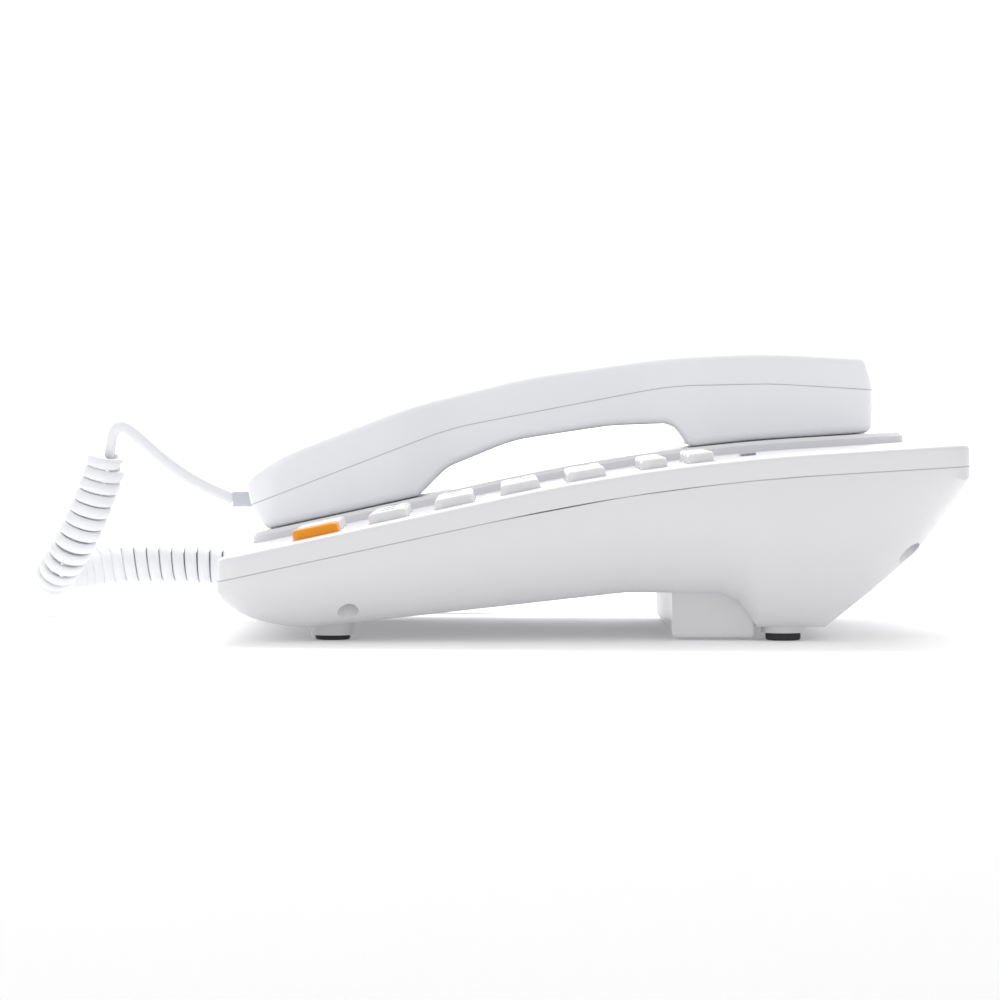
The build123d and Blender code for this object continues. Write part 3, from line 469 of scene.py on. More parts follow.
def ruled_group() -> bpy.types.NodeTree:
    """Uncoated card with fine ruled lines across it and a paper tooth.

    Returns:
        The group's tree.
    """
    graph, given, result = new_group("ruled_card", surface_inputs(), SURFACE_OUTPUTS)
    place = graph.add("ShaderNodeTexCoord").outputs["Object"]
    along = graph.add("ShaderNodeSeparateXYZ", {0: place}).outputs["Y"]
    line_pitch = 0.0065
    line_share = 0.07  # of the pitch
    phase = graph.math("FRACT", graph.math("DIVIDE", along, line_pitch))
    line = graph.math("LESS_THAN", phase, line_share)
    tooth = graph.noise(place, given.outputs["Grain"], 5.0)
    colour = graph.mix(line, given.outputs["Colour"], given.outputs["Shade"])
    graph.tree.links.new(colour, result.inputs["Colour"])
    graph.tree.links.new(given.outputs["Roughness"], result.inputs["Roughness"])
    graph.tree.links.new(tooth, result.inputs["Height"])
    return graph.tree


def board_group() -> bpy.types.NodeTree:
    """A circuit board: copper tracks under the solder mask and tinned pads.

    Returns:
        The group's tree.
    """
    graph, given, result = new_group("circuit_board", surface_inputs(), SURFACE_OUTPUTS)
    place = graph.add("ShaderNodeTexCoord").outputs["Object"]
    cells_a_metre = 130.0
    tracks_a_cell, track_from = 6.0, 0.6  # a track fills the rest of each band
    pad_reach = 0.12  # from a cell's middle
    track_strength = 0.35
    tin = (0.75, 0.74, 0.7, 1.0)
    cells = graph.add(
        "ShaderNodeTexVoronoi", {"Vector": place, "Scale": cells_a_metre}, feature="F1", distance="CHEBYCHEV"
    )
    band = graph.math("FRACT", graph.math("MULTIPLY", cells.outputs["Distance"], tracks_a_cell))
    track = graph.math("GREATER_THAN", band, track_from)
    pad = graph.math("LESS_THAN", cells.outputs["Distance"], pad_reach)
    covered = graph.math("MULTIPLY", track, track_strength)
    tracks = graph.mix(covered, given.outputs["Colour"], given.outputs["Shade"])
    colour = graph.mix(pad, tracks, tin)
    graph.tree.links.new(colour, result.inputs["Colour"])
    graph.tree.links.new(given.outputs["Roughness"], result.inputs["Roughness"])
    graph.tree.links.new(track, result.inputs["Height"])
    return graph.tree


def parting_group(name: str, points: list[tuple[float, float]], half_width: float) -> bpy.types.NodeTree:
    """A mask for the fine line where two mouldings meet.

    Args:
        name: the group's name.
        points: (y, z) along the line, in metres, from front to rear.
        half_width: half the line's width, in metres.

    Returns:
        The group's tree.
    """
    graph, _, result = new_group(name, [], [("Mask", "NodeSocketFloat")])
    place = graph.add("ShaderNodeTexCoord").outputs["Object"]
    apart = graph.add("ShaderNodeSeparateXYZ", {0: place})
    y_low, y_high = points[0][0], points[-1][0]
    z_low = min(z for _, z in points)
    z_span = max(z for _, z in points) - z_low
    along = graph.math("DIVIDE", graph.math("SUBTRACT", apart.outputs["Y"], y_low), y_high - y_low, True)
    curve = graph.add("ShaderNodeFloatCurve", {"Value": along})
    shape = curve.mapping.curves[0]
    scaled = [((y - y_low) / (y_high - y_low), (z - z_low) / z_span) for y, z in points]
    shape.points[0].location = scaled[0]
    shape.points[-1].location = scaled[-1]
    for place_on_curve in scaled[1:-1]:
        shape.points.new(*place_on_curve)
    for point in shape.points:
        point.handle_type = "VECTOR"
    curve.mapping.update()
    height = graph.math("ADD", graph.math("MULTIPLY", curve.outputs[0], z_span), z_low)
    away = graph.math("ABSOLUTE", graph.math("SUBTRACT", apart.outputs["Z"], height))
    mask = graph.math("SUBTRACT", 1.0, graph.math("DIVIDE", away, half_width), True)
    graph.tree.links.new(mask, result.inputs["Mask"])
    return graph.tree


# ---------------------------------------------------------------- finishes
class Texture(Enum):
    """The surface group that a finish uses."""

    MOULDED = "moulded_surface"
    METAL = "drawn_metal"
    RULED = "ruled_card"
    BOARD = "circuit_board"


@dataclass(frozen=True)
class Finish:
    """The look of one material slot."""

    slot: str
    colour: tuple[float, float, float]
    shade: tuple[float, float, float]
    roughness: float
    texture: Texture = Texture.MOULDED
    grain: float = 1400.0
    relief: float = 0.05  # strength of the fine relief
    relief_depth: float = 0.00004  # in metres
    metallic: float = 0.0
    coat: float = 0.0
    coat_roughness: float = 0.12
    transmission: float = 0.0
    parting: str = ""  # the parting line's group, if the piece has one
    parting_colour: tuple[float, float, float] = (0.36, 0.32, 0.32)

    def material(self) -> bpy.types.Material:
        """Builds the material once and hands the same one out again.

        Returns:
            The material.
        """
        made = bpy.data.materials.get("finish_" + self.slot)
        if made:
            return made
        made = bpy.data.materials.new("finish_" + self.slot)
        made.use_nodes = True
        graph = Graph(made.node_tree)
        made.node_tree.nodes.clear()
        surface = graph.add("ShaderNodeGroup", node_tree=bpy.data.node_groups[self.texture.value])
        surface.inputs["Colour"].default_value = (*self.colour, 1.0)
        surface.inputs["Shade"].default_value = (*self.shade, 1.0)
        surface.inputs["Roughness"].default_value = self.roughness
        surface.inputs["Grain"].default_value = self.grain
        colour = surface.outputs["Colour"]
        if self.parting:
            line = graph.add("ShaderNodeGroup", node_tree=bpy.data.node_groups[self.parting])
            colour = graph.mix(line.outputs["Mask"], colour, (*self.parting_colour, 1.0))
        bump = graph.add(
            "ShaderNodeBump",
            {"Height": surface.outputs["Height"], "Strength": self.relief, "Distance": self.relief_depth},
        )
        shader = graph.add(
            "ShaderNodeBsdfPrincipled",
            {
                "Base Color": colour,
                "Roughness": surface.outputs["Roughness"],
                "Metallic": self.metallic,
                "Coat Weight": self.coat,
                "Coat Roughness": self.coat_roughness,
                "Transmission Weight": self.transmission,
                "Normal": bump.outputs[0],
            },
        )
        graph.add("ShaderNodeOutputMaterial", {"Surface": shader.outputs[0]})
        return made


BASE_UPPER = Finish(
    "base_upper_white", (0.82, 0.82, 0.845), (0.80, 0.80, 0.825), 0.34, coat=0.25, parting=BASE_PARTING
)
BASE_LOWER = Finish(
    "base_lower_white", (0.80, 0.80, 0.82), (0.77, 0.77, 0.79), 0.38, coat=0.2, parting=BASE_PARTING
)
HANDSET = Finish(
    "handset_white", (0.93, 0.94, 0.965), (0.91, 0.92, 0.95), 0.30, coat=0.35, parting=HANDSET_PARTING
)
KEY_WHITE = Finish("key_white", (0.88, 0.88, 0.88), (0.85, 0.85, 0.86), 0.28, coat=0.4, relief=0.03)
KEY_ORANGE = Finish("key_orange", (1.0, 0.36, 0.0), (0.95, 0.33, 0.0), 0.38, coat=0.12, relief=0.02)
RUBBER = Finish("foot_rubber", (0.028, 0.028, 0.031), (0.045, 0.045, 0.048), 0.72, grain=2200.0, relief=0.25)
MAT = Finish("mat_rubber", (0.50, 0.53, 0.57), (0.45, 0.48, 0.52), 0.6, grain=1800.0, relief=0.12)
# Painted shade: the window's dark smoke grey is partly its own tint and partly the shadow that the handset casts on
# the deck under its grip.
SMOKE_WINDOW_AND_SHADE = Finish("smoke_window", (0.16, 0.16, 0.18), (0.13, 0.13, 0.15), 0.08, coat=0.5, transmission=0.55)
CARD = Finish(
    "card_paper",
    (0.86, 0.84, 0.78),
    (0.35, 0.42, 0.55),
    0.85,
    texture=Texture.RULED,
    grain=3500.0,
    relief=0.2,
)
LAMP = Finish("lamp_tint", (0.42, 0.46, 0.56), (0.38, 0.42, 0.53), 0.16, coat=0.5, transmission=0.35)
SCREW = Finish("screw_steel", (0.62, 0.62, 0.64), (0.48, 0.48, 0.5), 0.28, Texture.METAL, metallic=1.0)
BOARD = Finish("board_green", (0.03, 0.16, 0.07), (0.12, 0.34, 0.14), 0.4, Texture.BOARD, relief=0.3)
IRON = Finish("ballast_iron", (0.30, 0.30, 0.31), (0.20, 0.18, 0.17), 0.5, Texture.METAL, metallic=0.9)
SPRING = Finish("spring_steel", (0.66, 0.66, 0.68), (0.52, 0.52, 0.55), 0.22, Texture.METAL, metallic=1.0)
MECHANISM = Finish("mechanism_plastic", (0.05, 0.05, 0.055), (0.08, 0.08, 0.085), 0.5, relief=0.15)
JACK = Finish("jack_plastic", (0.42, 0.42, 0.44), (0.36, 0.36, 0.38), 0.45, relief=0.1)
PLUG = Finish("plug_plastic", (0.66, 0.68, 0.72), (0.60, 0.62, 0.67), 0.3, coat=0.3)
CORD = Finish("cord_white", (0.90, 0.91, 0.93), (0.86, 0.87, 0.895), 0.42, grain=900.0, relief=0.08)
SWITCH = Finish("switch_grey", (0.45, 0.46, 0.48), (0.38, 0.39, 0.41), 0.45, relief=0.12)


@dataclass(frozen=True)
class Ink:
    """The printed legends' paint."""

    colour: tuple[float, float, float] = (0.10, 0.11, 0.13)
    roughness: float = 0.5
    shade_factor: float = 1.3

    def material(self) -> bpy.types.Material:
        """Builds the ink once and hands the same one out again.

        Returns:
            The material.
        """
        made = bpy.data.materials.get("finish_legend_ink")
        if made:
            return made
        made = bpy.data.materials.new("finish_legend_ink")
        made.use_nodes = True
        graph = Graph(made.node_tree)
        made.node_tree.nodes.clear()
        surface = graph.add("ShaderNodeGroup", node_tree=bpy.data.node_groups[Texture.MOULDED.value])
        surface.inputs["Colour"].default_value = (*self.colour, 1.0)
        surface.inputs["Shade"].default_value = tuple(c * self.shade_factor for c in self.colour) + (1.0,)
        surface.inputs["Roughness"].default_value = self.roughness
        shader = graph.add(
            "ShaderNodeBsdfPrincipled",
            {"Base Color": surface.outputs["Colour"], "Roughness": surface.outputs["Roughness"]},
        )
        graph.add("ShaderNodeOutputMaterial", {"Surface": shader.outputs[0]})
        return made


# ---------------------------------------------------------------- making pieces
def link_mesh(name: str, mesh: bpy.types.Mesh, material: bpy.types.Material) -> bpy.types.Object:
    """Puts a mesh in the scene.

    Args:
        name: the piece's name.
        mesh: its mesh.
        material: its only material.

    Returns:
        The new object.
    """
    mesh.materials.clear()
    mesh.materials.append(material)
    piece = bpy.data.objects.new(name, mesh)
    bpy.context.scene.collection.objects.link(piece)
    return piece


def finish_faces(mesh: bpy.types.Mesh, sharp_angle: float) -> None:
    """Joins a mesh's loose faces and shades it smooth, except at sharp edges.

    Args:
        mesh: the mesh that is changed.
        sharp_angle: edges that turn more than this, in radians, stay sharp.
    """
    cells = bmesh.new()
    cells.from_mesh(mesh)
    bmesh.ops.remove_doubles(cells, verts=cells.verts, dist=WELD_DISTANCE)
    bmesh.ops.dissolve_degenerate(cells, edges=cells.edges, dist=COLLAPSE_DISTANCE)
    for face in cells.faces:
        face.smooth = True
    for edge in cells.edges:
        turn = edge.calc_face_angle(math.pi) if len(edge.link_faces) == 2 else math.pi
        edge.smooth = turn < sharp_angle
    cells.to_mesh(mesh)
    cells.free()
    mesh.update()


@dataclass
class Moulding:
    """One CAD node carried over as a joined, smoothly shaded piece."""

    node: str
    finish: Finish
    body: str
    sharp: float = 28.0  # degrees

    def build(self) -> bpy.types.Object:
        """Copies the node's mesh, finishes it and hands it to its body.

        Returns:
            The new piece.
        """
        source = frame["nodes"][self.node]
        mesh = source.data.copy()
        finish_faces(mesh, math.radians(self.sharp))
        piece = link_mesh(self.node + "_finished", mesh, self.finish.material())
        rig.replaces(piece, self.node)
        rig.slot(piece, self.finish.slot)
        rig.ride(piece, self.body)
        return piece


@dataclass
class Assembly:
    """A named set of mouldings that belong together."""

    name: str
    mouldings: list[Moulding] = field(default_factory=list)

    def build(self) -> list[bpy.types.Object]:
        """Builds every moulding.

        Returns:
            The new pieces.
        """
        made = [moulding.build() for moulding in self.mouldings]
        for piece in made:
            log.info("%s: %s, %d faces", self.name, piece.name, len(piece.data.polygons))
        return made


def node_bodies() -> dict[str, str]:
    """The body that each CAD node belongs to.

    Returns:
        Body names by node name.
    """
    return {name: node["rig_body"] for name, node in frame["nodes"].items()}


@dataclass
class Base:
    """The base: shells, feet, window, lamp, jacks and everything inside."""

    outside: dict[str, Finish] = field(
        default_factory=lambda: {
            "top_shell": BASE_UPPER,
            "bottom_shell": BASE_LOWER,
            "front_feet": RUBBER,
            "rear_feet": RUBBER,
            # painted shade: the dark window also stands in for the handset's shadow on the deck
            "index_window": SMOKE_WINDOW_AND_SHADE,
            "index_card": CARD,
            "ring_lamp": LAMP,
            "handset_jack": JACK,
            "line_jack": JACK,
            "ringer_switch": SWITCH,
            "hook_plunger": BASE_UPPER,
        }
    )
    inside: dict[str, Finish] = field(
        default_factory=lambda: {
            "key_mat": MAT,
            "main_board": BOARD,
            "board_screws": SCREW,
            "hook_switch": MECHANISM,
            "ringer": MECHANISM,
            "ballast_weight": IRON,
        }
    )

    def build(self) -> list[bpy.types.Object]:
        """Builds the base's pieces.

        Returns:
            The new pieces.
        """
        bodies = node_bodies()
        nodes = {**self.outside, **self.inside}
        return Assembly("base", [Moulding(n, f, bodies[n]) for n, f in nodes.items()]).build()


@dataclass
class Handset:
    """The handset: shells, capsules, weight, screws and socket."""

    finishes: dict[str, Finish] = field(
        default_factory=lambda: {
            "handset_upper_shell": HANDSET,
            "handset_lower_shell": HANDSET,
            "handset_screws": SCREW,
            "receiver_capsule": MECHANISM,
            "microphone_capsule": MECHANISM,
            "handset_weight": IRON,
            "handset_socket": JACK,
        }
    )

    def build(self) -> list[bpy.types.Object]:
        """Builds the handset's pieces.

        Returns:
            The new pieces.
        """
        bodies = node_bodies()
        return Assembly("handset", [Moulding(n, f, bodies[n]) for n, f in self.finishes.items()]).build()


@dataclass
class Keypad:
    """The keys, with the dial keys' legends."""

    legends: tuple[tuple[str, str], ...] = (
        ("key_1", "1"),
        ("key_2", "2"),
        ("key_3", "3"),
        ("key_4", "4"),
        ("key_5", "5"),
        ("key_6", "6"),
        ("key_7", "7"),
        ("key_8", "8"),
        ("key_9", "9"),
        ("key_star", "*"),
        ("key_0", "0"),
        ("key_hash", "#"),
    )
    white_keys: tuple[str, ...] = ("mute_key", "flash_key") + tuple(f"memory_key_{n}" for n in range(1, 7))
    legend_size: float = 0.0062
    legend_thickness: float = 0.00012
    sharp: float = 34.0  # degrees

    def legend(self, key: str, mark: str, x: float, y: float) -> bpy.types.Object:
        """Prints one mark on a key's top.

        Args:
            key: the key's node and body name.
            mark: the character printed.
            x: the key's column.
            y: the key's row.

        Returns:
            The mark's piece.
        """
        step = 0.0005
        slope = math.atan2(deck_height(y + step) - deck_height(y - step), 2 * step)
        across = Vector((1, 0, 0))
        up_face = Vector((0, math.cos(slope), math.sin(slope)))
        normal = Vector((0, -math.sin(slope), math.cos(slope)))
        origin = Vector((x, y, deck_height(y)))
        lift = max((v.co - origin).dot(normal) for v in frame["nodes"][key].data.vertices)
        words = bpy.data.curves.new("legend_" + key, "FONT")
        words.body = mark
        words.size = self.legend_size
        words.align_x = "CENTER"
        words.align_y = "CENTER"
        words.extrude = self.legend_thickness / 2
        holder = bpy.data.objects.new("legend_source", words)
        bpy.context.scene.collection.objects.link(holder)
        graph = bpy.context.evaluated_depsgraph_get()
        mesh = bpy.data.meshes.new_from_object(holder.evaluated_get(graph))
        bpy.data.objects.remove(holder)
        turn = Matrix((across, up_face, normal)).transposed().to_4x4()
        mesh.transform(Matrix.Translation(origin + normal * lift) @ turn)
        piece = link_mesh("legend_" + key, mesh, Ink().material())
        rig.slot(piece, KEY_WHITE.slot)
        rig.ride(piece, key)
        return piece

    def build(self) -> list[bpy.types.Object]:
        """Builds every key and legend.

        Returns:
            The new pieces.
        """
        bodies = node_bodies()
        whites = [key for key, _ in self.legends] + list(self.white_keys)
        parts = [Moulding(key, KEY_WHITE, bodies[key], self.sharp) for key in whites]
        parts.append(Moulding("redial_key", KEY_ORANGE, bodies["redial_key"], self.sharp))
        made = Assembly("keypad", parts).build()
        columns = len(KEY_COLUMNS)
        for index, (key, mark) in enumerate(self.legends):
            row = DIAL_ROWS[len(DIAL_ROWS) - 1 - index // columns]
            made.append(self.legend(key, mark, KEY_COLUMNS[index % columns], row))
        log.info("keypad: %d legends", len(self.legends))
        return made


# ---------------------------------------------------------------- repeated parts by geometry nodes
def evaluate_nodes(
    name: str, tree: bpy.types.NodeTree, settings: dict[str, object], material: bpy.types.Material
) -> bpy.types.Object:
    """Runs a geometry node tree once and keeps its result as a plain mesh.

    Args:
        name: the piece's name.
        tree: the geometry node tree.
        settings: input values by input name.
        material: the piece's material.

    Returns:
        The new piece.
    """
    holder = bpy.data.objects.new(name + "_source", bpy.data.meshes.new(name + "_source"))
    bpy.context.scene.collection.objects.link(holder)
    modifier = holder.modifiers.new("nodes", "NODES")
    modifier.node_group = tree
    for item in tree.interface.items_tree:
        if item.item_type == "SOCKET" and item.in_out == "INPUT" and item.name in settings:
            modifier[item.identifier] = settings[item.name]
    bpy.context.view_layer.update()
    graph = bpy.context.evaluated_depsgraph_get()
    mesh = bpy.data.meshes.new_from_object(holder.evaluated_get(graph))
    bpy.data.objects.remove(holder)
    return link_mesh(name, mesh, material)


def lathe(name: str, profile: list[tuple[float, float]], steps: int) -> bpy.types.Object:
    """Turns a profile round Z.

    Args:
        name: the object's name.
        profile: (radius, height) from one end on the axis to the other.
        steps: faces round the axis.

    Returns:
        The turned object.
    """
    vertices, faces = [], []
    for radius, height in profile:
        for k in range(steps):
            angle = 2 * math.pi * k / steps
            vertices.append((radius * math.cos(angle), radius * math.sin(angle), height))
    for ring in range(len(profile) - 1):
        for k in range(steps):
            after = (k + 1) % steps
            faces.append(
                (ring * steps + k, ring * steps + after, (ring + 1) * steps + after, (ring + 1) * steps + k)
            )
    faces.append(tuple(reversed(range(steps))))
    faces.append(tuple(range((len(profile) - 1) * steps, len(profile) * steps)))
    mesh = bpy.data.meshes.new(name)
    mesh.from_pydata(vertices, [], faces)
    mesh.update()
    turned = bpy.data.objects.new(name, mesh)
    bpy.context.scene.collection.objects.link(turned)
    return turned


@dataclass
class HousingScrews:
    """The four screws that hold the base together, with their cross recesses."""

    head_radius: float = 0.0029
    head_height: float = 0.0022
    shank_radius: float = 0.00145
    shank_length: float = 0.011
    thread_pitch: float = 0.0011
    slot_width: float = 0.0008
    slot_length: float = 0.0034
    slot_depth: float = 0.0013
    head_profile: tuple[tuple[float, float], ...] = ((0.72, 1.0), (0.94, 0.8), (1.0, 0.5))
    root_share: float = 0.78  # thread's root radius, as a share of the shank's
    tip_share: float = 0.3  # tip's radius, as a share of the root's
    thread_shares: tuple[float, float, float] = (0.3, 0.6, 0.9)  # root, crest and root along the pitch
    turn_steps: int = 32
    sharp: float = 30.0  # degrees

    def blank(self) -> bpy.types.Object:
        """One screw without its recess: a pan head below its seat, and a threaded shank above.

        Returns:
            The screw's object.
        """
        root = self.shank_radius * self.root_share
        profile = [(self.head_radius * out, -self.head_height * down) for out, down in self.head_profile]
        profile += [(self.head_radius, 0.0), (root, 0.0)]
        rise, crest, fall = self.thread_shares
        turns = int(self.shank_length / self.thread_pitch) - 1
        for turn in range(turns):
            low = turn * self.thread_pitch
            profile += [
                (root, low + self.thread_pitch * rise),
                (self.shank_radius, low + self.thread_pitch * crest),
                (root, low + self.thread_pitch * fall),
            ]
        profile.append((root * self.tip_share, self.shank_length))
        return lathe("screw_blank", profile, self.turn_steps)

    def tree(self) -> bpy.types.NodeTree:
        """The node tree that cuts the recess and sets a screw at each place.

        Returns:
            The geometry node tree.
        """
        inputs = [
            ("Screw", "NodeSocketObject", None),
            ("Places", "NodeSocketObject", None),
            ("Slot Width", "NodeSocketFloat", self.slot_width),
            ("Slot Length", "NodeSocketFloat", self.slot_length),
            ("Slot Depth", "NodeSocketFloat", self.slot_depth),
            ("Head Height", "NodeSocketFloat", self.head_height),
            ("Material", "NodeSocketMaterial", None),
        ]
        graph, given, result = new_group(
            "screw_set", inputs, [("Geometry", "NodeSocketGeometry")], "GeometryNodeTree"
        )
        screw = graph.add("GeometryNodeObjectInfo", {"Object": given.outputs["Screw"]}).outputs["Geometry"]
        places = graph.add("GeometryNodeObjectInfo", {"Object": given.outputs["Places"]}).outputs["Geometry"]
        deep = graph.math("MULTIPLY", given.outputs["Slot Depth"], 2.0)
        width, length = given.outputs["Slot Width"], given.outputs["Slot Length"]
        low = graph.math("MULTIPLY", given.outputs["Head Height"], -1.0)
        offset = graph.add("ShaderNodeCombineXYZ", {"Z": low}).outputs[0]
        blades = graph.add("GeometryNodeJoinGeometry")
        for x, y in ((width, length), (length, width)):
            size = graph.add("ShaderNodeCombineXYZ", {"X": x, "Y": y, "Z": deep}).outputs[0]
            blade = graph.add("GeometryNodeMeshCube", {"Size": size}).outputs[0]
            moved = graph.add("GeometryNodeTransform", {"Geometry": blade, "Translation": offset})
            graph.tree.links.new(moved.outputs[0], blades.inputs[0])
        cut = graph.add("GeometryNodeMeshBoolean", operation="DIFFERENCE")
        graph.tree.links.new(screw, cut.inputs[0])
        graph.tree.links.new(blades.outputs[0], cut.inputs[1])
        placed = graph.add(
            "GeometryNodeInstanceOnPoints", {"Points": places, "Instance": cut.outputs[0]}
        ).outputs[0]
        real = graph.add("GeometryNodeRealizeInstances", {0: placed}).outputs[0]
        painted = graph.add(
            "GeometryNodeSetMaterial", {"Geometry": real, "Material": given.outputs["Material"]}
        )
        graph.tree.links.new(painted.outputs[0], result.inputs["Geometry"])
        return graph.tree

    def build(self) -> bpy.types.Object:
        """Builds the four screws as one piece.

        Returns:
            The new piece.
        """
        seats = bpy.data.meshes.new("screw_seats")
        seats.from_pydata([(x, y, deck_height(y) - SCREW_SEAT) for x, y in SCREW_PLACES], [], [])
        places = bpy.data.objects.new("screw_seats", seats)
        bpy.context.scene.collection.objects.link(places)
        blank = self.blank()
        settings = {"Screw": blank, "Places": places, "Material": SCREW.material()}
        settings |= {"Slot Width": self.slot_width, "Slot Length": self.slot_length}
        settings |= {"Slot Depth": self.slot_depth, "Head Height": self.head_height}
        piece = evaluate_nodes("housing_screws_finished", self.tree(), settings, SCREW.material())
        for spare in (blank, places):
            bpy.data.objects.remove(spare)
        finish_faces(piece.data, math.radians(self.sharp))
        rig.replaces(piece, "housing_screws")
        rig.slot(piece, SCREW.slot)
        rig.ride(piece, "base")
        log.info("screws: %d faces", len(piece.data.polygons))
        return piece


@dataclass
class HookSpring:
    """The wire spring under the hook's plunger."""

    wire: float = 0.0006
    turns: float = 6.5
    steps_a_turn: int = 28
    section_points: int = 10
    sharp: float = 60.0  # degrees

    def tree(self) -> bpy.types.NodeTree:
        """The node tree that winds the wire.

        Returns:
            The geometry node tree.
        """
        inputs = [
            ("Radius", "NodeSocketFloat", 0.003),
            ("Height", "NodeSocketFloat", 0.008),
            ("Turns", "NodeSocketFloat", self.turns),
            ("Wire", "NodeSocketFloat", self.wire),
            ("Offset", "NodeSocketVector", None),
            ("Material", "NodeSocketMaterial", None),
        ]
        graph, given, result = new_group(
            "wire_spring", inputs, [("Geometry", "NodeSocketGeometry")], "GeometryNodeTree"
        )
        radius = given.outputs["Radius"]
        helix = graph.add(
            "GeometryNodeCurveSpiral",
            {
                "Resolution": self.steps_a_turn,
                "Rotations": given.outputs["Turns"],
                "Start Radius": radius,
                "End Radius": radius,
                "Height": given.outputs["Height"],
            },
        ).outputs[0]
        half_wire = graph.math("DIVIDE", given.outputs["Wire"], 2.0)
        section = graph.add(
            "GeometryNodeCurvePrimitiveCircle", {"Resolution": self.section_points, "Radius": half_wire}
        )
        body = graph.add(
            "GeometryNodeCurveToMesh",
            {"Curve": helix, "Profile Curve": section.outputs[0], "Fill Caps": True},
        ).outputs[0]
        moved = graph.add(
            "GeometryNodeTransform", {"Geometry": body, "Translation": given.outputs["Offset"]}
        ).outputs[0]
        real = graph.add("GeometryNodeRealizeInstances", {0: moved}).outputs[0]
        painted = graph.add(
            "GeometryNodeSetMaterial", {"Geometry": real, "Material": given.outputs["Material"]}
        )
        graph.tree.links.new(painted.outputs[0], result.inputs["Geometry"])
        return graph.tree

    def build(self) -> bpy.types.Object:
        """Winds the spring in its place.

        Returns:
            The new piece.
        """
        low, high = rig.box("hook_spring")
        centre = (low + high) / 2
        settings = {
            "Radius": (high.x - low.x) / 2 - self.wire / 2,
            "Height": high.z - low.z - self.wire,
            "Turns": self.turns,
            "Wire": self.wire,
            "Offset": (centre.x, centre.y, low.z + self.wire / 2),
            "Material": SPRING.material(),
        }
        piece = evaluate_nodes("hook_spring_finished", self.tree(), settings, SPRING.material())
        finish_faces(piece.data, math.radians(self.sharp))
        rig.replaces(piece, "hook_spring")
        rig.slot(piece, SPRING.slot)
        start, end = Vector((centre.x, centre.y, low.z)), Vector((centre.x, centre.y, high.z))
        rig.blend(piece, "base", "hook_plunger", start, end)
        log.info("hook spring: %d faces", len(piece.data.polygons))
        return piece


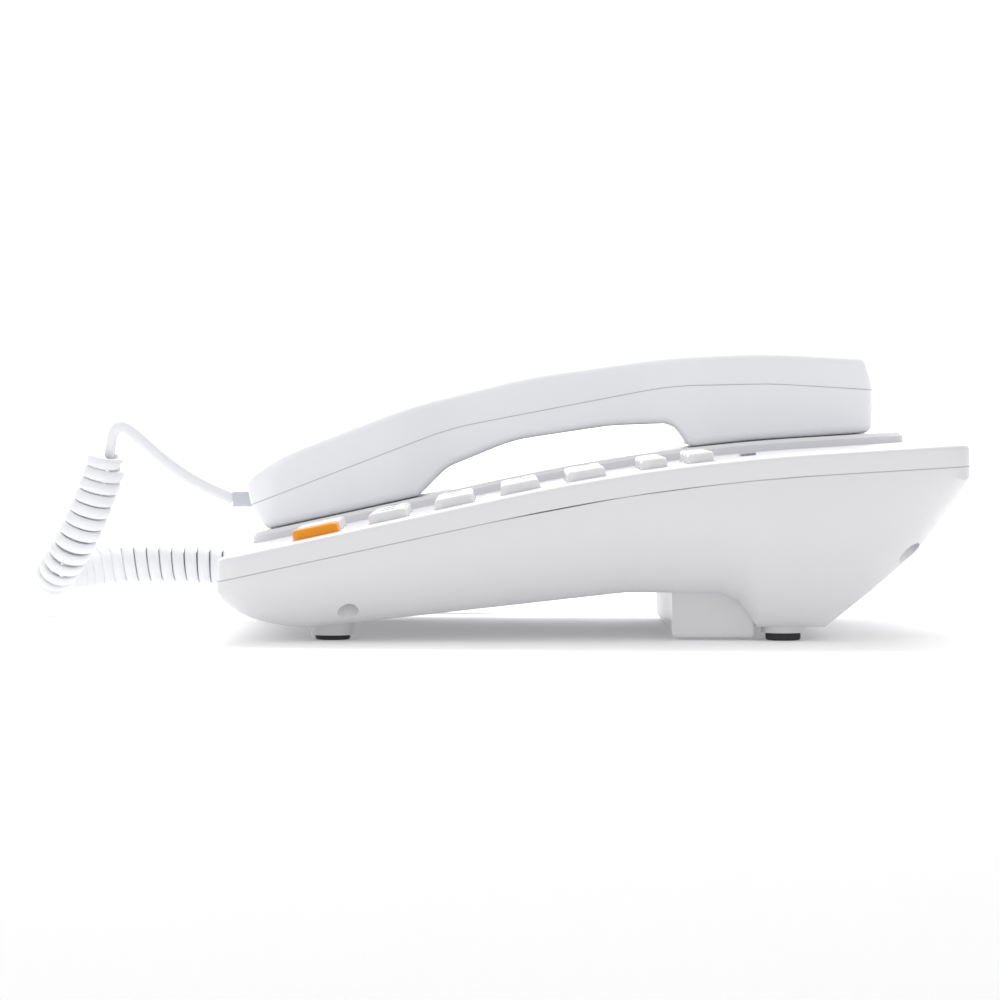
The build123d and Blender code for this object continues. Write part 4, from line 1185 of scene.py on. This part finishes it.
# ---------------------------------------------------------------- the handset's cord
@dataclass
class HandsetCord:
    """The flat cord between handset and base, coiled along its middle, with a plug at each end."""

    width: float = 0.0040
    thickness: float = 0.0024
    coil_radius: float = 0.0058  # to the middle of the wire
    coil_pitch: float = 0.0043
    coil_start: Vector = field(default_factory=lambda: Vector((-0.0617, -0.1605, 0.0559)))
    coil_end: Vector = field(default_factory=lambda: Vector((-0.104, -0.028, 0.009)))
    points_a_turn: int = 26
    ramp_turns: float = 0.7  # over which the wire swings out from the route
    straight_step: float = 0.0012
    section_points: int = 12
    squareness: float = 0.75  # of the section: 1 is an ellipse, less is squarer
    route_detail: int = 24  # points between two of the route's control points
    sharp: float = 70.0  # degrees
    handset_side: tuple[float, float, float] = (-0.060, 0.0, 0.0)  # rides with the handset up to here
    base_side: tuple[float, float, float] = (-0.100, 0.0, 0.0)  # and with the base from here

    def route(self) -> list[tuple[float, float, float]]:
        """The route's control points, from the handset's plug to the base's.

        Returns:
            Points in metres.
        """
        handset_tail = [
            (-0.055, -0.1185, 0.041),
            (-0.0552, -0.125, 0.0436),
            (-0.0556, -0.134, 0.0483),
            (-0.0562, -0.143, 0.0548),
            (-0.0572, -0.1505, 0.0616),
            (-0.0588, -0.156, 0.066),
            (-0.0604, -0.1598, 0.0635),
        ]
        coil = [
            (-0.0617, -0.1605, 0.0559),
            (-0.065, -0.1675, 0.037),
            (-0.070, -0.176, 0.0205),
            (-0.080, -0.182, 0.0135),
            (-0.095, -0.181, 0.0145),
            (-0.1035, -0.169, 0.0165),
            (-0.1045, -0.150, 0.0175),
            (-0.104, -0.129, 0.017),
            (-0.1045, -0.104, 0.013),
            (-0.1035, -0.079, 0.0085),
            (-0.1042, -0.053, 0.0078),
            (-0.104, -0.028, 0.009),
        ]
        base_tail = [
            (-0.1042, -0.019, 0.0102),
            (-0.1058, -0.010, 0.0145),
            (-0.107, -0.0025, 0.021),
            (-0.1045, 0.003, 0.0285),
            (-0.099, 0.0054, 0.0313),
            (-0.094, 0.005, 0.031),
        ]
        return handset_tail + coil + base_tail

    def axis_points(self) -> list[Vector]:
        """Points along the route's smooth line.

        Returns:
            Points in metres, close together.
        """
        line = bpy.data.curves.new("cord_route", "CURVE")
        line.dimensions = "3D"
        line.resolution_u = self.route_detail
        spline = line.splines.new("NURBS")
        control = self.route()
        spline.points.add(len(control) - 1)
        for point, place in zip(spline.points, control):
            point.co = (*place, 1.0)
        spline.order_u = 3
        spline.use_endpoint_u = True
        holder = bpy.data.objects.new("cord_route", line)
        bpy.context.scene.collection.objects.link(holder)
        graph = bpy.context.evaluated_depsgraph_get()
        mesh = bpy.data.meshes.new_from_object(holder.evaluated_get(graph))
        points = [vertex.co.copy() for vertex in mesh.vertices]
        bpy.data.objects.remove(holder)
        bpy.data.meshes.remove(mesh)
        return points

    @staticmethod
    def nearest_length(points: list[Vector], lengths: list[float], place: Vector) -> float:
        """How far along the line its nearest point to a place lies.

        Args:
            points: the line's points.
            lengths: length from the line's start to each point.
            place: the place.

        Returns:
            A length in metres.
        """
        return lengths[min(range(len(points)), key=lambda i: (points[i] - place).length)]

    @staticmethod
    def carried_normals(tangents: list[Vector]) -> list[Vector]:
        """Directions square to the line, which turn with it and don't twist.

        Args:
            tangents: the line's direction at each point.

        Returns:
            A unit vector for each point, the first as near upward as it can be.
        """
        upward = Vector((0, 0, 1))
        normals = [(upward - tangents[0] * upward.dot(tangents[0])).normalized()]
        for before, after in zip(tangents, tangents[1:]):
            carried = before.rotation_difference(after) @ normals[-1]
            normals.append((carried - after * carried.dot(after)).normalized())
        return normals

    def stations(self, first: float, last: float, total: float) -> list[float]:
        """Where along the route the wire gets a section, with short steps along the coil.

        Args:
            first: length at the coil's start.
            last: length at its end.
            total: the route's whole length.

        Returns:
            Lengths in metres, from 0 to the whole length.
        """
        places = []
        length = 0.0
        while length < total:
            places.append(length)
            winding = first <= length < last
            length += self.coil_pitch / self.points_a_turn if winding else self.straight_step
        places.append(total)
        return places

    def centreline(self) -> tuple[list[Vector], list[Vector]]:
        """The wire's own centreline, wound round the route along the coil.

        Returns:
            The centreline's points, and the direction of the flat wire's width at each.
        """
        points = self.axis_points()
        lengths = [0.0]
        for a, b in zip(points, points[1:]):
            lengths.append(lengths[-1] + (b - a).length)
        first = self.nearest_length(points, lengths, self.coil_start)
        last = self.nearest_length(points, lengths, self.coil_end)
        final = len(points) - 1
        tangents = [
            (points[min(i + 1, final)] - points[max(i - 1, 0)]).normalized() for i in range(len(points))
        ]
        normals = self.carried_normals(tangents)
        wanted = Vector((0, 1, 0))  # the flat wire's width where it enters the base's plug
        wanted = (wanted - tangents[-1] * wanted.dot(tangents[-1])).normalized()
        side = tangents[-1].cross(normals[-1])
        twist = math.atan2(wanted.dot(side), wanted.dot(normals[-1]))
        centres, widths = [], []
        index = 0
        ramp_length = self.ramp_turns * self.coil_pitch
        for s in self.stations(first, last, lengths[-1]):
            while index < len(points) - 2 and lengths[index + 1] < s:
                index += 1
            share = (s - lengths[index]) / max(1e-9, lengths[index + 1] - lengths[index])
            middle = points[index].lerp(points[index + 1], share)
            along = tangents[index].lerp(tangents[index + 1], share).normalized()
            normal = normals[index].lerp(normals[index + 1], share)
            normal = (normal - along * normal.dot(along)).normalized()
            turn = twist * smoothstep((s - first) / (last - first))
            side = along.cross(normal)
            normal = normal * math.cos(turn) + side * math.sin(turn)
            side = along.cross(normal)
            ramp = smoothstep((s - first) / ramp_length) * smoothstep((last - s) / ramp_length)
            angle = 2 * math.pi * (s - first) / self.coil_pitch
            radial = normal * math.cos(angle) + side * math.sin(angle)
            centres.append(middle + radial * self.coil_radius * ramp)
            lean = ramp * math.pi / 2
            widths.append(normal * math.cos(lean) + along * math.sin(lean))
        return centres, widths

    def mesh(self, centres: list[Vector], widths: list[Vector]) -> bpy.types.Mesh:
        """The wire's surface: a flat oval section carried along the centreline.

        Args:
            centres: the centreline's points.
            widths: direction of the section's width at each point.

        Returns:
            The new mesh.
        """
        count = self.section_points
        vertices, faces = [], []
        for i, (centre, width) in enumerate(zip(centres, widths)):
            ahead = centres[min(i + 1, len(centres) - 1)] - centres[max(i - 1, 0)]
            ahead.normalize()
            across = (width - ahead * width.dot(ahead)).normalized()
            up = ahead.cross(across)
            for k in range(count):
                angle = 2 * math.pi * (k + 0.5) / count
                x = math.copysign(abs(math.cos(angle)) ** self.squareness, math.cos(angle))
                y = math.copysign(abs(math.sin(angle)) ** self.squareness, math.sin(angle))
                vertices.append(centre + across * x * self.width / 2 + up * y * self.thickness / 2)
        for i in range(len(centres) - 1):
            for k in range(count):
                after = (k + 1) % count
                faces.append((i * count + k, i * count + after, (i + 1) * count + after, (i + 1) * count + k))
        faces.append(tuple(reversed(range(count))))
        faces.append(tuple(range((len(centres) - 1) * count, len(centres) * count)))
        made = bpy.data.meshes.new("handset_cord")
        made.from_pydata(vertices, [], faces)
        made.update()
        return made

    def build(self) -> list[bpy.types.Object]:
        """Returns:
            The new pieces.
        """
        bodies = node_bodies()
        plugs = Assembly(
            "cord", [Moulding(name, PLUG, bodies[name]) for name in ("handset_plug", "base_plug")]
        ).build()
        centres, widths = self.centreline()
        cord = link_mesh("handset_cord", self.mesh(centres, widths), CORD.material())
        finish_faces(cord.data, math.radians(self.sharp))
        length = sum((b - a).length for a, b in zip(centres, centres[1:]))
        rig.replaces(cord, "handset_cord_tail", "handset_cord_coil", "base_cord_tail")
        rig.slot(cord, CORD.slot)
        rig.blend(cord, "handset", "base", self.handset_side, self.base_side)
        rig.cord(
            cord,
            exit=tuple(centres[0]),
            length=length,
            diameter=self.width,
            far_end="object",
            stiffness="medium",
            lay="loose",
            path=[tuple(centre) for centre in centres],
            with_pieces=plugs,
        )
        log.info("cord: %.3f m of wire, %d points", length, len(centres))
        return [cord, *plugs]


# ---------------------------------------------------------------- room, light and camera
@dataclass
class Studio:
    """A pale sweep, soft lights and the camera."""

    camera_place: tuple[float, float, float] = (1.390, -0.0285, 0.0756)
    camera_target: tuple[float, float, float] = (0.090, -0.0285, 0.0441)
    lens: float = 154.25
    sensor: float = 36.0
    clip: tuple[float, float] = (0.01, 20.0)
    room_half: float = 3.0
    sweep_start: float = -1.4
    sweep_radius: float = 0.8
    sweep_steps: int = 16
    sweep_white: float = 0.93
    sweep_roughness: float = 0.9
    sweep_glow: float = 0.14
    room_light: float = 0.62

    def sweep(self) -> bpy.types.Object:
        """The floor, which curves up into a wall behind the phone.

        Returns:
            The sweep's object.
        """
        profile = [(self.room_half, 0.0), (self.sweep_start, 0.0)]
        for step in range(1, self.sweep_steps + 1):
            angle = math.pi / 2 * step / self.sweep_steps
            x = self.sweep_start - self.sweep_radius * math.sin(angle)
            profile.append((x, self.sweep_radius * (1 - math.cos(angle))))
        profile.append((profile[-1][0], self.room_half))
        vertices = [(x, y, z) for x, z in profile for y in (-self.room_half, self.room_half)]
        faces = [(2 * i, 2 * i + 1, 2 * i + 3, 2 * i + 2) for i in range(len(profile) - 1)]
        mesh = bpy.data.meshes.new("sweep")
        mesh.from_pydata(vertices, [], faces)
        mesh.flip_normals()
        for face in mesh.polygons:
            face.use_smooth = True
        paint = bpy.data.materials.new("sweep_paint")
        paint.use_nodes = True
        shader = paint.node_tree.nodes["Principled BSDF"]
        shader.inputs["Base Color"].default_value = (*[self.sweep_white] * 3, 1.0)
        shader.inputs["Roughness"].default_value = self.sweep_roughness
        shader.inputs["Emission Color"].default_value = (1.0, 1.0, 1.0, 1.0)
        shader.inputs["Emission Strength"].default_value = self.sweep_glow
        return link_mesh("sweep", mesh, paint)

    @staticmethod
    def lamp(name: str, place: tuple, target: tuple, size: float, power: float) -> bpy.types.Object:
        """One square soft light.

        Args:
            name: the light's name.
            place: where it stands.
            target: where it points.
            size: its side.
            power: its power in watts.

        Returns:
            The light's object.
        """
        data = bpy.data.lights.new(name, "AREA")
        data.size = size
        data.energy = power
        lamp = bpy.data.objects.new(name, data)
        bpy.context.scene.collection.objects.link(lamp)
        lamp.location = place
        lamp.rotation_euler = (Vector(target) - Vector(place)).to_track_quat("-Z", "Y").to_euler()
        return lamp

    def build(self) -> None:
        """Makes the room, the lights and the camera."""
        scene = bpy.context.scene
        world = bpy.data.worlds.new("room")
        world.use_nodes = True
        background = world.node_tree.nodes["Background"]
        background.inputs["Color"].default_value = (1.0, 1.0, 1.0, 1.0)
        background.inputs["Strength"].default_value = self.room_light
        scene.world = world
        scene.view_settings.view_transform = "Standard"
        overhead = self.lamp(
            "overhead", place=(-0.35, 0.1, 1.3), target=(0.0, 0.0, 0.0), size=1.3, power=4.6
        )
        front = self.lamp("front", place=(0.9, -0.9, 0.9), target=(0.0, 0.0, 0.03), size=0.8, power=2.4)
        backdrop = self.lamp(
            "backdrop", place=(-1.0, 0.0, 1.6), target=(-2.2, 0.0, 0.3), size=1.6, power=42.0
        )
        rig.stage(self.sweep(), overhead, front, backdrop)
        data = bpy.data.cameras.new("camera")
        data.lens = self.lens
        data.sensor_width = self.sensor
        data.clip_start, data.clip_end = self.clip
        camera = bpy.data.objects.new("camera", data)
        scene.collection.objects.link(camera)
        camera.location = self.camera_place
        aim = Vector(self.camera_target) - Vector(self.camera_place)
        camera.rotation_euler = aim.to_track_quat("-Z", "Y").to_euler()
        scene.camera = camera
        log.info("studio: camera, three lights and a sweep")


def main() -> None:
    """Builds the phone's pieces in order and finishes the frame."""
    logging.basicConfig(level=logging.INFO, format="%(name)s %(message)s")
    sizes = {"cad": [list(corner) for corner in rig.bounds()]}
    moulded_group()
    metal_group()
    ruled_group()
    board_group()
    rows = spread(-HALF_LENGTH, HALF_LENGTH, LINE_STEPS)
    parting_group(BASE_PARTING, [(y, deck_height(y) - BAND) for y in rows], BASE_LINE)
    rows = spread(HANDSET_SEAM[0][0], HANDSET_SEAM[-1][0], 2 * LINE_STEPS)
    parting_group(HANDSET_PARTING, [(y, handset_seam(y)) for y in rows], HANDSET_LINE)
    Studio().build()
    HandsetCord().build()
    Base().build()
    Handset().build()
    Keypad().build()
    HousingScrews().build()
    HookSpring().build()
    sizes["visual"] = [list(corner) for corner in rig.bounds()]
    with open(SIZE_FILE, "w") as size_file:
        json.dump(sizes, size_file)
    log.info("size %s", sizes)


if __name__ == "__main__":
    main()
